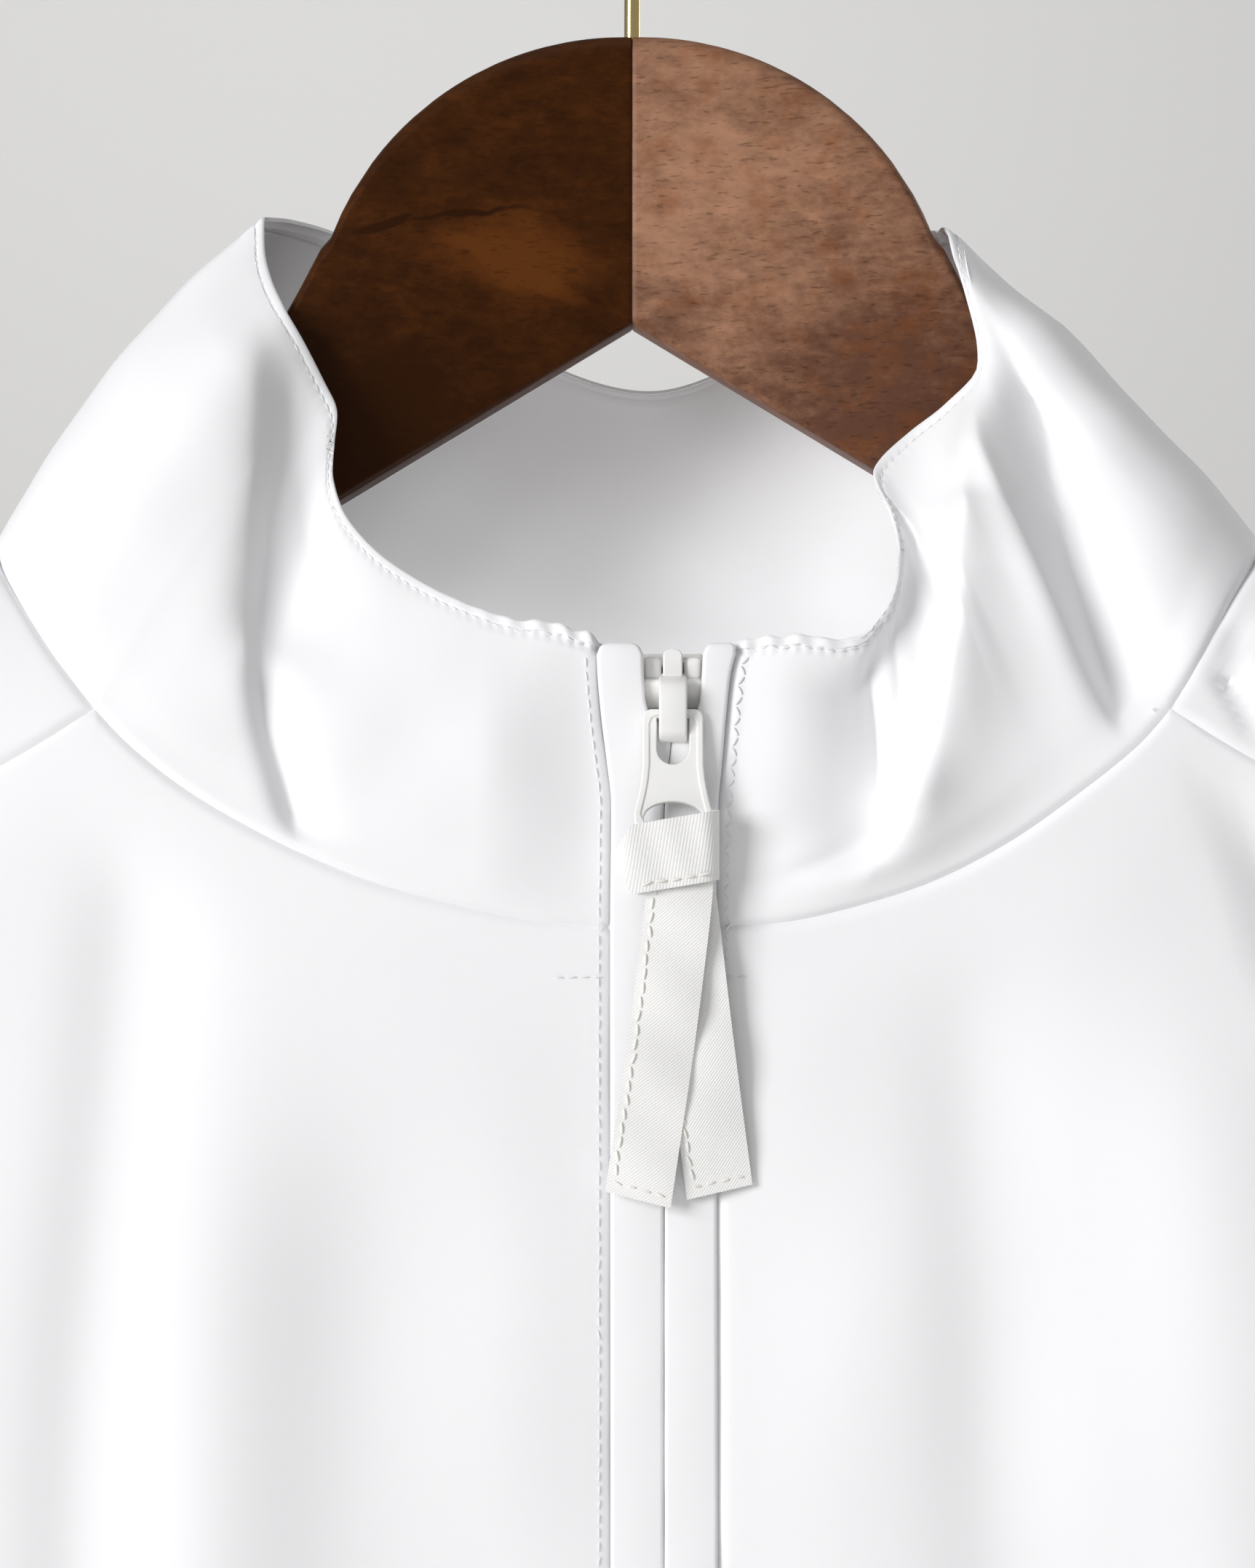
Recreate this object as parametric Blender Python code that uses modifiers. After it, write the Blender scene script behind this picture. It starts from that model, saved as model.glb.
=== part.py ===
"""A windshirt with a wide funnel collar and a full-length front zip, hung on a mitred wooden hanger.

Frame: +Z up, the garment's front faces -Y, +X is to the right of a viewer who looks at the front.
The origin is the inside top of the hanger's hook, where a rail carries it.
Sizes in the tables are millimetres; MM turns them into metres.
"""
import math

import bmesh
import bpy
import numpy as np
from mathutils import Matrix, Vector

MM = 0.001

# Driving sizes, in millimetres
SEAM_GAP = 0.3             # between two pieces sewn to each other
SIDE_GAP = 0.6             # the same down the sides and round the armholes, where the cloth turns
CLOTH_WALL = 1.0           # every cloth panel
BODY_LENGTH = 700.0        # from the neck's side point to the hem
HEM_HALF_WIDTH = 276.0
UNDERARM_X = 262.0
UNDERARM_Z = -470.0
SHOULDER_TIP_X = 250.0
SHOULDER_TIP_Z = -238.0
NECK_SIDE_Z = -181.5       # the shoulder line where the collar meets it
HEM_Z = NECK_SIDE_Z - BODY_LENGTH
ARM_RAKE = 0.18            # how far the hanger's arms come forward, per unit of X
ROUND_OVER = 45.0          # height over which the shoulder rounds into front and back
ROUND_RUN = 60.0           # the same stretch measured over the surface
ARMHOLE_HALF_DEPTH = 27.0
FRONT_DEPTH_TOP = 55.0     # front panel ahead of the hook's plane, at the neck
FRONT_DEPTH_LOW = 58.0     # the same at the chest and below
BACK_DEPTH_TOP = 36.0
BACK_DEPTH_LOW = 42.0

WOOD_THICK = 14.0
WOOD_THICK_TIP = 11.0
WOOD_EDGE = 4.0            # radius of the wood's rounded edges at the hump
WOOD_EDGE_ARM = 6.6        # the same along the arms
HUMP_RADIUS = 60.0
HUMP_TOP_Z = -85.0
HOOK_WIRE = 3.1            # diameter
HOOK_RADIUS = 22.0         # of the hook's centre line
HOOK_SINK = 20.0           # how deep the wire goes into the wood

# The hanger's outline from its middle to its tip: x, upper edge z, lower edge z
HANGER_EDGE = [
    (58.0, -126.0, -176.5),
    (66.0, -141.0, -182.0),
    (76.0, -154.0, -188.5),
    (90.0, -167.5, -197.0),
    (118.0, -184.6, -212.0),
    (150.0, -196.0, -225.5),
    (190.0, -209.4, -239.0),
    (210.0, -217.2, -245.5),
    (218.0, -222.6, -245.5),
    (222.0, -229.0, -240.0),
]
HANGER_NOTCH_Z = -139.5    # lower edge at the middle
HANGER_LOW_SLOPE = 0.62    # fall of the lower edge per unit of X near the middle

# The shoulder line that rests on the hanger: x, z
SHOULDER_LINE = [
    (0.0, NECK_SIDE_Z),
    (118.0, NECK_SIDE_Z),
    (150.0, -193.2),
    (190.0, -206.6),
    (215.0, -215.5),
    (235.0, -226.0),
    (SHOULDER_TIP_X, SHOULDER_TIP_Z),
]

# The neck seam from the front opening to the shoulder line: x on the left, x on the right, z
NECK_FRONT = [
    (-4.3, 15.2, -251.5),
    (-16.0, 28.0, -250.6),
    (-31.0, 41.0, -247.6),
    (-47.0, 54.0, -243.2),
    (-63.0, 67.0, -236.4),
    (-78.0, 79.0, -228.0),
    (-89.0, 89.5, -219.6),
    (-96.0, 96.0, -212.5),
    (-104.0, 102.5, -202.5),
    (-111.0, 108.5, -192.5),
    (-116.0, 114.0, -184.8),
    (-117.5, 116.0, NECK_SIDE_Z),
]
SHOULDER_SEAM_AT = 7       # the row of NECK_FRONT where the forward shoulder seam starts
# The neck seam from the shoulder line round the back: x on the left, x on the right, z
NECK_BACK = [
    (-117.5, 116.0, NECK_SIDE_Z),
    (-115.0, 113.5, -184.0),
    (-103.0, 102.0, -189.0),
    (-84.0, 84.0, -195.0),
    (-60.0, 60.0, -200.0),
    (-31.0, 31.0, -203.0),
    (0.0, 0.0, -204.0),
]
# The forward shoulder seam from the neck seam to the armhole: x, z
SHOULDER_SEAM = [(96.0, -212.5), (112.0, -222.5), (150.0, -243.0), (200.0, -266.0), (251.5, -288.0)]

# The collar's top edge, from the zip's left side over the back to its right side: x, y, z
COLLAR_TOP_LEFT = [
    (-6.8, -50.0, -199.4),
    (-14.0, -49.5, -197.0),
    (-22.0, -48.5, -196.0),
    (-31.0, -46.5, -192.8),
    (-38.7, -44.0, -188.9),
    (-46.4, -41.0, -183.5),
    (-52.5, -36.5, -176.4),
    (-54.8, -31.5, -170.0),
    (-54.6, -28.0, -163.5),
    (-54.2, -25.5, -157.0),
    (-56.5, -24.0, -151.5),
    (-61.2, -23.5, -143.0),
    (-64.4, -21.5, -137.5),
    (-67.2, -14.5, -132.0),
    (-69.2, -6.0, -126.0),
    (-70.1, 2.0, -118.0),
]
COLLAR_TOP_BACK = [
    (-70.1, 2.0, -118.0),
    (-65.4, 11.0, -117.6),
    (-56.9, 20.0, -119.4),
    (-44.0, 28.0, -125.5),
    (-29.0, 34.0, -135.5),
    (-13.0, 37.5, -144.5),
    (3.5, 38.0, -148.4),
    (18.0, 37.0, -144.5),
    (31.0, 33.0, -136.5),
    (43.0, 26.0, -127.5),
    (52.0, 17.0, -121.5),
    (57.0, 9.0, -120.0),
    (58.0, 2.0, -121.1),
]
COLLAR_TOP_RIGHT = [
    (58.0, 2.0, -121.1),
    (58.2, -8.0, -121.3),
    (58.6, -16.5, -123.2),
    (59.4, -21.5, -128.5),
    (61.2, -23.0, -135.5),
    (63.2, -23.5, -145.0),
    (63.0, -24.0, -150.8),
    (57.6, -22.0, -156.0),
    (51.3, -22.0, -160.6),
    (45.6, -25.5, -166.0),
    (44.1, -30.0, -170.0),
    (46.7, -36.0, -176.0),
    (48.6, -42.5, -184.5),
    (48.0, -47.5, -190.5),
    (43.6, -52.0, -197.5),
    (37.9, -53.0, -199.9),
    (29.2, -52.0, -199.2),
    (20.2, -50.0, -200.0),
]
COLLAR_BULGE = 4.0         # how far the collar swells between its two edges

# Folds of the collar, front view: height out of the cloth, width to the left and to the right, (x, z) points
COLLAR_FOLDS = [
    (3.0, 14.0, 5.0, [(-69.0, -136.0), (-70.0, -160.0), (-70.0, -200.0), (-66.0, -222.0)]),
    (-4.5, 5.0, 12.0, [(-61.0, -150.0), (-64.0, -170.0), (-66.0, -200.0), (-61.0, -226.0)]),
    (-3.5, 6.0, 7.0, [(53.0, -172.0), (54.0, -195.0), (52.0, -222.0)]),
    (4.0, 7.0, 8.0, [(63.0, -156.0), (61.5, -176.0), (57.0, -205.0), (52.0, -228.0)]),
    (3.6, 9.0, 6.0, [(66.0, -152.0), (74.0, -176.0), (81.0, -196.0), (87.0, -210.0)]),
    (-7.0, 6.0, 11.0, [(63.0, -134.0), (74.0, -150.0), (82.0, -180.0), (89.0, -208.0)]),
]

# The sleeve from the armhole to the cuff: upper edge x, y, z, lower edge x, y, z, half depth
SLEEVE = [
    (272.0, -43.0, -252.0, 267.5, -10.0, -473.0, 28.0),
    (297.0, -38.0, -277.0, 274.0, -10.5, -476.5, 30.0),
    (324.0, -32.0, -318.0, 282.0, -11.0, -483.0, 33.0),
    (346.0, -27.0, -366.0, 291.0, -12.0, -494.0, 36.0),
    (362.0, -23.0, -420.0, 298.0, -13.0, -514.0, 37.0),
    (374.0, -21.0, -480.0, 302.0, -14.0, -548.0, 37.0),
    (385.0, -20.0, -556.0, 304.0, -15.0, -604.0, 36.0),
    (395.0, -20.0, -648.0, 307.0, -16.0, -680.0, 34.0),
    (404.0, -20.0, -744.0, 310.0, -17.0, -762.0, 32.0),
    (412.0, -20.0, -838.0, 314.0, -18.0, -848.0, 30.0),
]

# The zip: z, then the left welt's outer and inner edge and the right welt's inner and outer edge
ZIP_EDGES = [
    (-199.0, -6.6, 1.9, 12.7, 19.8),
    (-206.0, -6.3, 2.0, 12.4, 17.6),
    (-214.0, -5.6, 2.6, 11.7, 16.7),
    (-222.0, -4.6, 3.9, 8.9, 16.0),
    (-230.0, -3.8, 5.0, 6.4, 15.3),
    (-251.5, -4.0, 5.2, 6.0, 14.9),
    (-370.0, -3.9, 5.3, 5.9, 15.1),
    (HEM_Z, -3.9, 5.3, 5.9, 15.1),
]
WELT_THICK = 2.2
WELT_PROUD = 1.0           # how far the welts stand ahead of the panels
ZIP_TAPE_THICK = 0.8
ZIP_TAPE_BEHIND = 1.8      # tape's front face behind the panels' outer face
ZIP_TAPE_OUTER = 12.5      # tape's edge from the zip's middle
ZIP_MIDDLE = 5.6

# The slider, its bail and the pull tab
SLIDER_WIDTH = 11.6
SLIDER_LENGTH = 8.6
SLIDER_PLATE = 1.4
SLIDER_DEPTH = 5.6
SLIDER_TILT = math.radians(45.0)
SLIDER_FRONT_TOP = (7.2, -48.9, -206.9)
SLIDER_POST = (2.6, 5.4)
BAIL_WIDTH = 5.0
TAB_AXIS = (7.2, -53.6, -213.6)
TAB_BAR_HALF = 0.8         # half height of the tab's top bar
TAB_THICK = 1.6
TAB_TILT = math.radians(17.5)
TAB_LENGTH = 22.6
TAB_TOP_HALF_WIDTH = 5.4
TAB_FOOT_HALF_WIDTH = 6.3

# The ribbon tied through the tab
RIBBON_WIDTH = 11.7
RIBBON_THICK = 1.0
KNOT_SIZE = (20.0, 7.0, 13.0)
KNOT_CENTRE = (6.9, -60.2, -238.4)
KNOT_ROLL = math.radians(9.0)
# Each tail's middle line: x, y, z
TAIL_FRONT = [(8.4, -61.9, -240.5), (8.0, -61.9, -248.0), (5.0, -62.1, -272.0), (0.9, -61.5, -299.4)]
TAIL_REAR = [(8.0, -60.4, -240.5), (9.2, -60.4, -248.0), (12.0, -60.5, -272.0), (15.4, -60.1, -298.2)]

# Counts of grid cells
NECK_CELLS_FRONT = 12
COLLAR_SPLIT = 2           # collar cells for each neck cell in front
COLLAR_ROWS = 9
SHOULDER_SEAM_CELLS = 11
ARMHOLE_CELLS_FRONT = 7
ARMHOLE_CELLS_LOW = 5      # at the back, from the underarm up to ARMHOLE_LOW_Z
ARMHOLE_LOW_Z = -330.0
# Heights of the stations over the shoulder's tip, up its back and then down its front
ARMHOLE_TIP_BACK = [-300.0, -277.0, -259.0, -247.0, -240.5, SHOULDER_TIP_Z]
ARMHOLE_TIP_FRONT = [-240.5, -247.0, -262.0]
SIDE_CELLS = 8
HEM_CELLS_BACK = 12
NECK_CELLS_BACK = HEM_CELLS_BACK + 2 * (ARMHOLE_CELLS_LOW + len(ARMHOLE_TIP_BACK) + len(ARMHOLE_TIP_FRONT)
                                        + 1 + SIDE_CELLS)

COLOURS = {
    "cloth": ((0.93, 0.93, 0.94), 0.75, 0.0),
    "ribbon": ((0.90, 0.89, 0.85), 0.7, 0.0),
    "wood": ((0.16, 0.07, 0.03), 0.35, 0.0),
    "brass": ((0.83, 0.62, 0.30), 0.25, 1.0),
    "zip": ((0.86, 0.86, 0.84), 0.4, 0.0),
}


# Small helpers

def clear_scene():
    for item in list(bpy.data.objects):
        bpy.data.objects.remove(item, do_unlink=True)


def smooth_step(value, low, high):
    t = np.clip((np.asarray(value, float) - low) / (high - low), 0.0, 1.0)
    return t * t * (3.0 - 2.0 * t)


def smooth_value(x, table):
    """A smooth curve through the (x, value, ...) rows that never overshoots between two of them."""
    rows = np.array(sorted(table), float)
    xs, ys = rows[:, 0], rows[:, 1:]
    steps = np.diff(ys, axis=0) / np.diff(xs)[:, None]
    slopes = np.zeros_like(ys)
    same_sign = steps[:-1] * steps[1:] > 0
    total = steps[:-1] + steps[1:]
    slopes[1:-1] = np.where(same_sign, 2 * steps[:-1] * steps[1:] / np.where(same_sign, total, 1.0), 0.0)
    slopes[0], slopes[-1] = steps[0], steps[-1]
    x = np.clip(np.atleast_1d(np.asarray(x, float)), xs[0], xs[-1])
    i = np.clip(np.searchsorted(xs, x) - 1, 0, len(xs) - 2)
    h = (xs[i + 1] - xs[i])[:, None]
    t = (x - xs[i])[:, None] / h
    return ((2 * t**3 - 3 * t**2 + 1) * ys[i] + (t**3 - 2 * t**2 + t) * h * slopes[i]
            + (3 * t**2 - 2 * t**3) * ys[i + 1] + (t**3 - t**2) * h * slopes[i + 1])


def along(points, cells, ease=None):
    """Points spaced evenly by length on a smooth curve through the given ones."""
    points = np.array(points, float)
    padded = np.vstack([2 * points[0] - points[1], points, 2 * points[-1] - points[-2]])
    fine = []
    for a, b, c, d in zip(padded, padded[1:], padded[2:], padded[3:]):
        for t in np.linspace(0.0, 1.0, 16, endpoint=False):
            fine.append(0.5 * (2 * b + (c - a) * t + (2 * a - 5 * b + 4 * c - d) * t * t
                               + (3 * b - a - 3 * c + d) * t**3))
    fine = np.array(fine + [points[-1]])
    length = np.concatenate([[0.0], np.cumsum(np.linalg.norm(np.diff(fine, axis=0), axis=1))])
    wanted = np.linspace(0.0, 1.0, cells + 1)
    if ease is not None:
        wanted = ease(wanted)
    return np.stack([np.interp(wanted * length[-1], length, axis) for axis in fine.T], axis=1)


# The shape of the body: front and back are one surface, told apart by the sign of its depth

def shoulder_z(x):
    return smooth_value(np.abs(x), SHOULDER_LINE)[:, 0]


def side_x(z):
    """The half width of the body at a height: the armhole above the underarm, the side seam below."""
    z = np.asarray(z, float)
    arm = SHOULDER_TIP_X + (UNDERARM_X - SHOULDER_TIP_X) * smooth_step(-z, -SHOULDER_TIP_Z, -UNDERARM_Z)
    side = UNDERARM_X + (HEM_HALF_WIDTH - UNDERARM_X) * (UNDERARM_Z - z) / (UNDERARM_Z - HEM_Z)
    return np.where(z > UNDERARM_Z, arm, side)


def armhole_half_depth(z):
    """The armhole's half depth: full in its upper half, rounding to nothing at the underarm."""
    middle = 0.5 * (SHOULDER_TIP_Z + UNDERARM_Z)
    below = np.clip((middle - np.asarray(z, float)) / (middle - UNDERARM_Z), 0.0, 1.0)
    return ARMHOLE_HALF_DEPTH * np.sqrt(1.0 - below**2)


def body_point(x, z, front):
    """A point of the body's outer face."""
    x, z, front = np.broadcast_arrays(np.asarray(x, float), np.asarray(z, float), np.asarray(front, bool))
    drop = np.maximum(shoulder_z(x.ravel()).reshape(x.shape) - z, 0.0)
    middle_y = -ARM_RAKE * np.abs(x) * (1.0 - 0.8 * smooth_step(drop, 0.0, 260.0))
    rounding = np.sqrt(1.0 - (1.0 - np.clip(drop / ROUND_OVER, 0.0, 1.0))**2)
    reach = np.clip(np.abs(x) / side_x(z), 0.0, 1.0)
    edge = armhole_half_depth(z)
    belly = (1.0 - reach**3) ** (1.0 / 3.0)
    low = edge + (np.where(front, FRONT_DEPTH_LOW, BACK_DEPTH_LOW) - edge) * belly
    top = np.where(front, FRONT_DEPTH_TOP - 0.17 * np.abs(x), BACK_DEPTH_TOP - 0.10 * np.abs(x))
    depth = rounding * (top + (low - top) * smooth_step(drop, 15.0, 170.0))
    y = middle_y + np.where(front, -depth, depth)
    return np.stack([x, y, z], axis=-1)


REACHES = 1.0 - np.linspace(1.0, 0.0, 4001) ** 3
SPREADS = 0.5 * REACHES + np.arcsin(REACHES**1.5) / math.pi


def spread_of(x, z):
    """A place across the body as a share of its half width that grows faster where the side rounds."""
    return np.sign(x) * np.interp(np.clip(np.abs(x) / side_x(z), 0.0, 1.0), REACHES, SPREADS)


def x_of(spread, z):
    return np.sign(spread) * np.interp(np.abs(spread), SPREADS, REACHES) * side_x(z)


def to_flat(points):
    """Body points as spread and the distance over the surface from the shoulder line, negative in front."""
    x, y, z = np.moveaxis(np.asarray(points, float), -1, 0)
    drop = np.maximum(shoulder_z(x.ravel()).reshape(x.shape) - z, 0.0)
    middle_y = -ARM_RAKE * np.abs(x) * (1.0 - 0.8 * smooth_step(drop, 0.0, 260.0))
    turn = np.arccos(1.0 - np.clip(drop / ROUND_OVER, 0.0, 1.0)) / (0.5 * math.pi)
    run = ROUND_RUN * turn + np.maximum(drop - ROUND_OVER, 0.0)
    return np.stack([spread_of(x, z), np.where(y < middle_y - 1e-6, -run, run)], axis=-1)


def from_flat(flat):
    spread, run = np.moveaxis(np.asarray(flat, float), -1, 0)
    turn = np.clip(np.abs(run) / ROUND_RUN, 0.0, 1.0)
    drop = ROUND_OVER * (1.0 - np.cos(0.5 * math.pi * turn)) + np.maximum(np.abs(run) - ROUND_RUN, 0.0)
    x = np.sign(spread) * np.abs(spread) * SHOULDER_TIP_X
    for _ in range(4):
        z = shoulder_z(x.ravel()).reshape(x.shape) - drop
        x = x_of(spread, z)
    return body_point(x, shoulder_z(x.ravel()).reshape(x.shape) - drop, run < 0)


def heights_down(top, bottom, cells):
    """Heights from top to bottom, closer together near the bottom, where the armhole rounds."""
    t = np.sin(np.linspace(0.0, 0.5 * math.pi, cells + 1))
    return top + (bottom - top) * t


def neck_seam(side):
    """The front half of the neck seam on one side, zip to shoulder seam to shoulder line, then the back."""
    column = 0 if side < 0 else 1
    front = body_point([r[column] for r in NECK_FRONT], [r[2] for r in NECK_FRONT], True)
    back = body_point([r[column] for r in NECK_BACK], [r[2] for r in NECK_BACK], False)
    return front, back


def neck_parts():
    """The whole seam in three runs: left front, back between the shoulder seams, right front."""
    left_front, left_back = neck_seam(-1)
    right_front, right_back = neck_seam(1)
    at = SHOULDER_SEAM_AT
    left = along(left_front[:at + 1], NECK_CELLS_FRONT)
    right = along(right_front[:at + 1], NECK_CELLS_FRONT)
    rear = np.vstack([left_front[at:], left_back[1:], right_back[-2:0:-1], right_front[:at - 1:-1]])
    return left, along(rear, NECK_CELLS_BACK), right[::-1]


def shoulder_seam(side):
    rows = np.array(SHOULDER_SEAM)
    x = rows[:, 0] * side
    return along(body_point(x, rows[:, 1], True), SHOULDER_SEAM_CELLS, toward_end)


def armhole(side):
    """The armhole's front from the shoulder seam to the underarm, and its back from there to the same seam."""
    corner_z = SHOULDER_SEAM[-1][1]
    front_z = heights_down(corner_z, UNDERARM_Z, ARMHOLE_CELLS_FRONT)
    front = body_point(side_x(front_z) * side, front_z, True)
    low_z = heights_down(ARMHOLE_LOW_Z, UNDERARM_Z, ARMHOLE_CELLS_LOW)
    back_z = np.concatenate([low_z[::-1], ARMHOLE_TIP_BACK])
    back = body_point(side_x(back_z) * side, back_z, False)
    ahead_z = np.array(ARMHOLE_TIP_FRONT)
    ahead = body_point(side_x(ahead_z) * side, ahead_z, True)
    return front, np.vstack([back, ahead, front[:1]])


def side_seam(side):
    z = np.linspace(UNDERARM_Z, HEM_Z, SIDE_CELLS + 1)
    return body_point(side_x(z) * side, z, True)


def toward_end(share):
    """Shares that lie closer and closer together toward one."""
    return 1.0 - (1.0 - share) ** 1.4


def coons(top, bottom, left, right, across=None, down=None):
    """A grid of points filled in from its four edges; top and bottom run left to right, the others down."""
    s = np.linspace(0.0, 1.0, len(top)) if across is None else across
    t = np.linspace(0.0, 1.0, len(left)) if down is None else down
    s, t = s[None, :, None], t[:, None, None]
    ruled = (1 - t) * top[None] + t * bottom[None] + (1 - s) * left[:, None] + s * right[:, None]
    corners = ((1 - s) * (1 - t) * top[0] + s * (1 - t) * top[-1]
               + (1 - s) * t * bottom[0] + s * t * bottom[-1])
    return ruled - corners


def draw_in(grid, amount, sides):
    """Move the grid's named edges inward along the surface, which leaves the gap at a seam."""
    moved = grid.copy()
    pairs = {"top": ((0, slice(None)), (1, slice(None))), "bottom": ((-1, slice(None)), (-2, slice(None))),
             "left": ((slice(None), 0), (slice(None), 1)), "right": ((slice(None), -1), (slice(None), -2))}
    for side in sides:
        edge, inner = pairs[side]
        way = grid[inner] - grid[edge]
        moved[edge] += amount * way / np.linalg.norm(way, axis=-1, keepdims=True)
    return moved


# Pieces as objects

def material(name, kind):
    colour, roughness, metallic = COLOURS[kind]
    made = bpy.data.materials.new(name)
    made.use_nodes = True
    shader = made.node_tree.nodes["Principled BSDF"]
    shader.inputs["Base Color"].default_value = (*colour, 1.0)
    shader.inputs["Roughness"].default_value = roughness
    shader.inputs["Metallic"].default_value = metallic
    return made


def add_object(name, mesh, kind, group):
    item = bpy.data.objects.new(name, mesh)
    group.objects.link(item)
    mesh.materials.append(material(name + "_finish", kind))
    mesh.shade_smooth()
    mesh.set_sharp_from_angle(angle=math.radians(40.0))
    return item


def grid_mesh(name, grid, closed=False):
    """A mesh of quads over rows of points; a closed grid joins each row's end to its start."""
    rows, columns = grid.shape[:2]
    made = bmesh.new()
    verts = [[made.verts.new(Vector(p) * MM) for p in row] for row in grid]
    wrap = columns if closed else columns - 1
    for r in range(rows - 1):
        for c in range(wrap):
            d = (c + 1) % columns
            made.faces.new((verts[r][c], verts[r + 1][c], verts[r + 1][d], verts[r][d]))
    mesh = bpy.data.meshes.new(name)
    made.to_mesh(mesh)
    made.free()
    return mesh


def add_cloth(name, grid, group, closed=False, kind="cloth", wall=CLOTH_WALL):
    """A panel: the open grid is its outer face, and Solidify puts the wall behind it."""
    item = add_object(name, grid_mesh(name, grid, closed), kind, group)
    shell = item.modifiers.new("Wall", "SOLIDIFY")
    shell.thickness = wall * MM
    shell.offset = -1.0
    return item


def add_loft(name, rings, kind, group):
    """A closed solid through rings of equal length, with flat ends."""
    rings = np.array(rings)
    mesh = grid_mesh(name, rings, closed=True)
    made = bmesh.new()
    made.from_mesh(mesh)
    made.verts.ensure_lookup_table()
    count = rings.shape[1]
    made.faces.new([made.verts[i] for i in range(count)])
    made.faces.new([made.verts[len(made.verts) - 1 - i] for i in range(count)])
    bmesh.ops.recalc_face_normals(made, faces=made.faces)
    made.to_mesh(mesh)
    made.free()
    return add_object(name, mesh, kind, group)


def rounded_section(half_width, half_height, radius, steps=3):
    """A rounded rectangle's outline, counter-clockwise."""
    radius = min(radius, half_width * 0.98, half_height * 0.98)
    points = []
    for quarter, (sx, sy) in enumerate(((1, 1), (-1, 1), (-1, -1), (1, -1))):
        for step in range(steps + 1):
            angle = 0.5 * math.pi * (quarter + step / steps)
            points.append((sx * (half_width - radius) + radius * math.cos(angle),
                           sy * (half_height - radius) + radius * math.sin(angle)))
    return points


# The hanger

def hanger_edges(x):
    """Upper and lower edge of the wood at a distance from its middle."""
    first = HANGER_EDGE[0]
    if x < first[0]:
        upper = HUMP_TOP_Z - HUMP_RADIUS + math.sqrt(HUMP_RADIUS**2 - x * x)
        return upper, HANGER_NOTCH_Z - HANGER_LOW_SLOPE * x
    upper, lower = smooth_value(x, HANGER_EDGE)[0]
    return upper, lower


def add_hanger_half(side, group):
    name = "hanger_left" if side < 0 else "hanger_right"
    joint = 0.5 * SEAM_GAP
    stations = [joint, 12.0, 24.0, 35.0, 44.0, 51.0, 56.0] + [row[0] for row in HANGER_EDGE]
    rings = []
    for x in stations:
        upper, lower = hanger_edges(x)
        thick = WOOD_THICK + (WOOD_THICK_TIP - WOOD_THICK) * smooth_step(x, 90.0, 210.0)[()]
        thick *= 1.0 if x < 212.0 else 1.0 - 0.5 * ((x - 212.0) / 10.0) ** 2
        half_height = 0.5 * (upper - lower)
        radius = WOOD_EDGE + (WOOD_EDGE_ARM - WOOD_EDGE) * smooth_step(x, 66.0, 100.0)[()]
        outline = rounded_section(0.5 * thick, half_height, radius)
        rings.append([(side * x, -ARM_RAKE * x + y, 0.5 * (upper + lower) + z) for y, z in outline])
    return add_loft(name, rings, "wood", group)


def cut_hook_hole(halves, group):
    """The wire's hole runs down the joint, so each half is cut by the same round bar."""
    bpy.ops.mesh.primitive_cylinder_add(vertices=20, radius=(0.5 * HOOK_WIRE + SEAM_GAP) * MM,
                                        depth=2 * (HOOK_SINK + SEAM_GAP) * MM,
                                        location=(0.0, 0.0, HUMP_TOP_Z * MM))
    cutter = bpy.context.object
    cutter.name = "hook_hole_cutter"
    for owner in list(cutter.users_collection):
        owner.objects.unlink(cutter)
    group.objects.link(cutter)
    cutter.hide_render = True
    cutter.display_type = "WIRE"
    for half in halves:
        cut = half.modifiers.new("Hook hole", "BOOLEAN")
        cut.operation = "DIFFERENCE"
        cut.solver = "EXACT"
        cut.object = cutter


def add_wire(name, points, diameter, kind, group):
    curve = bpy.data.curves.new(name, "CURVE")
    curve.dimensions = "3D"
    curve.bevel_depth = 0.5 * diameter * MM
    curve.bevel_resolution = 2
    curve.use_fill_caps = True
    spline = curve.splines.new("POLY")
    spline.points.add(len(points) - 1)
    for point, place in zip(spline.points, points):
        point.co = (*(Vector(place) * MM), 1.0)
    item = bpy.data.objects.new(name, curve)
    group.objects.link(item)
    curve.materials.append(material(name + "_finish", kind))
    return item


def add_hook(group):
    """A straight stem that bends aside into a round hook, open at its lower right."""
    centre_z = 0.5 * HOOK_WIRE - HOOK_RADIUS
    turn = [math.radians(a) for a in range(205, -46, -10)]
    arc = [(HOOK_RADIUS * math.cos(a), 0.0, centre_z + HOOK_RADIUS * math.sin(a)) for a in turn]
    stem = [(0.0, 0.0, HUMP_TOP_Z - HOOK_SINK), (0.0, 0.0, HUMP_TOP_Z), (0.0, 0.0, -68.0),
            (-0.6, 0.0, -58.0), (-8.0, 0.0, -44.5)]
    route = along(stem + arc, 34)
    return add_wire("hanger_hook", route, HOOK_WIRE, "brass", group)


# The garment

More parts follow.
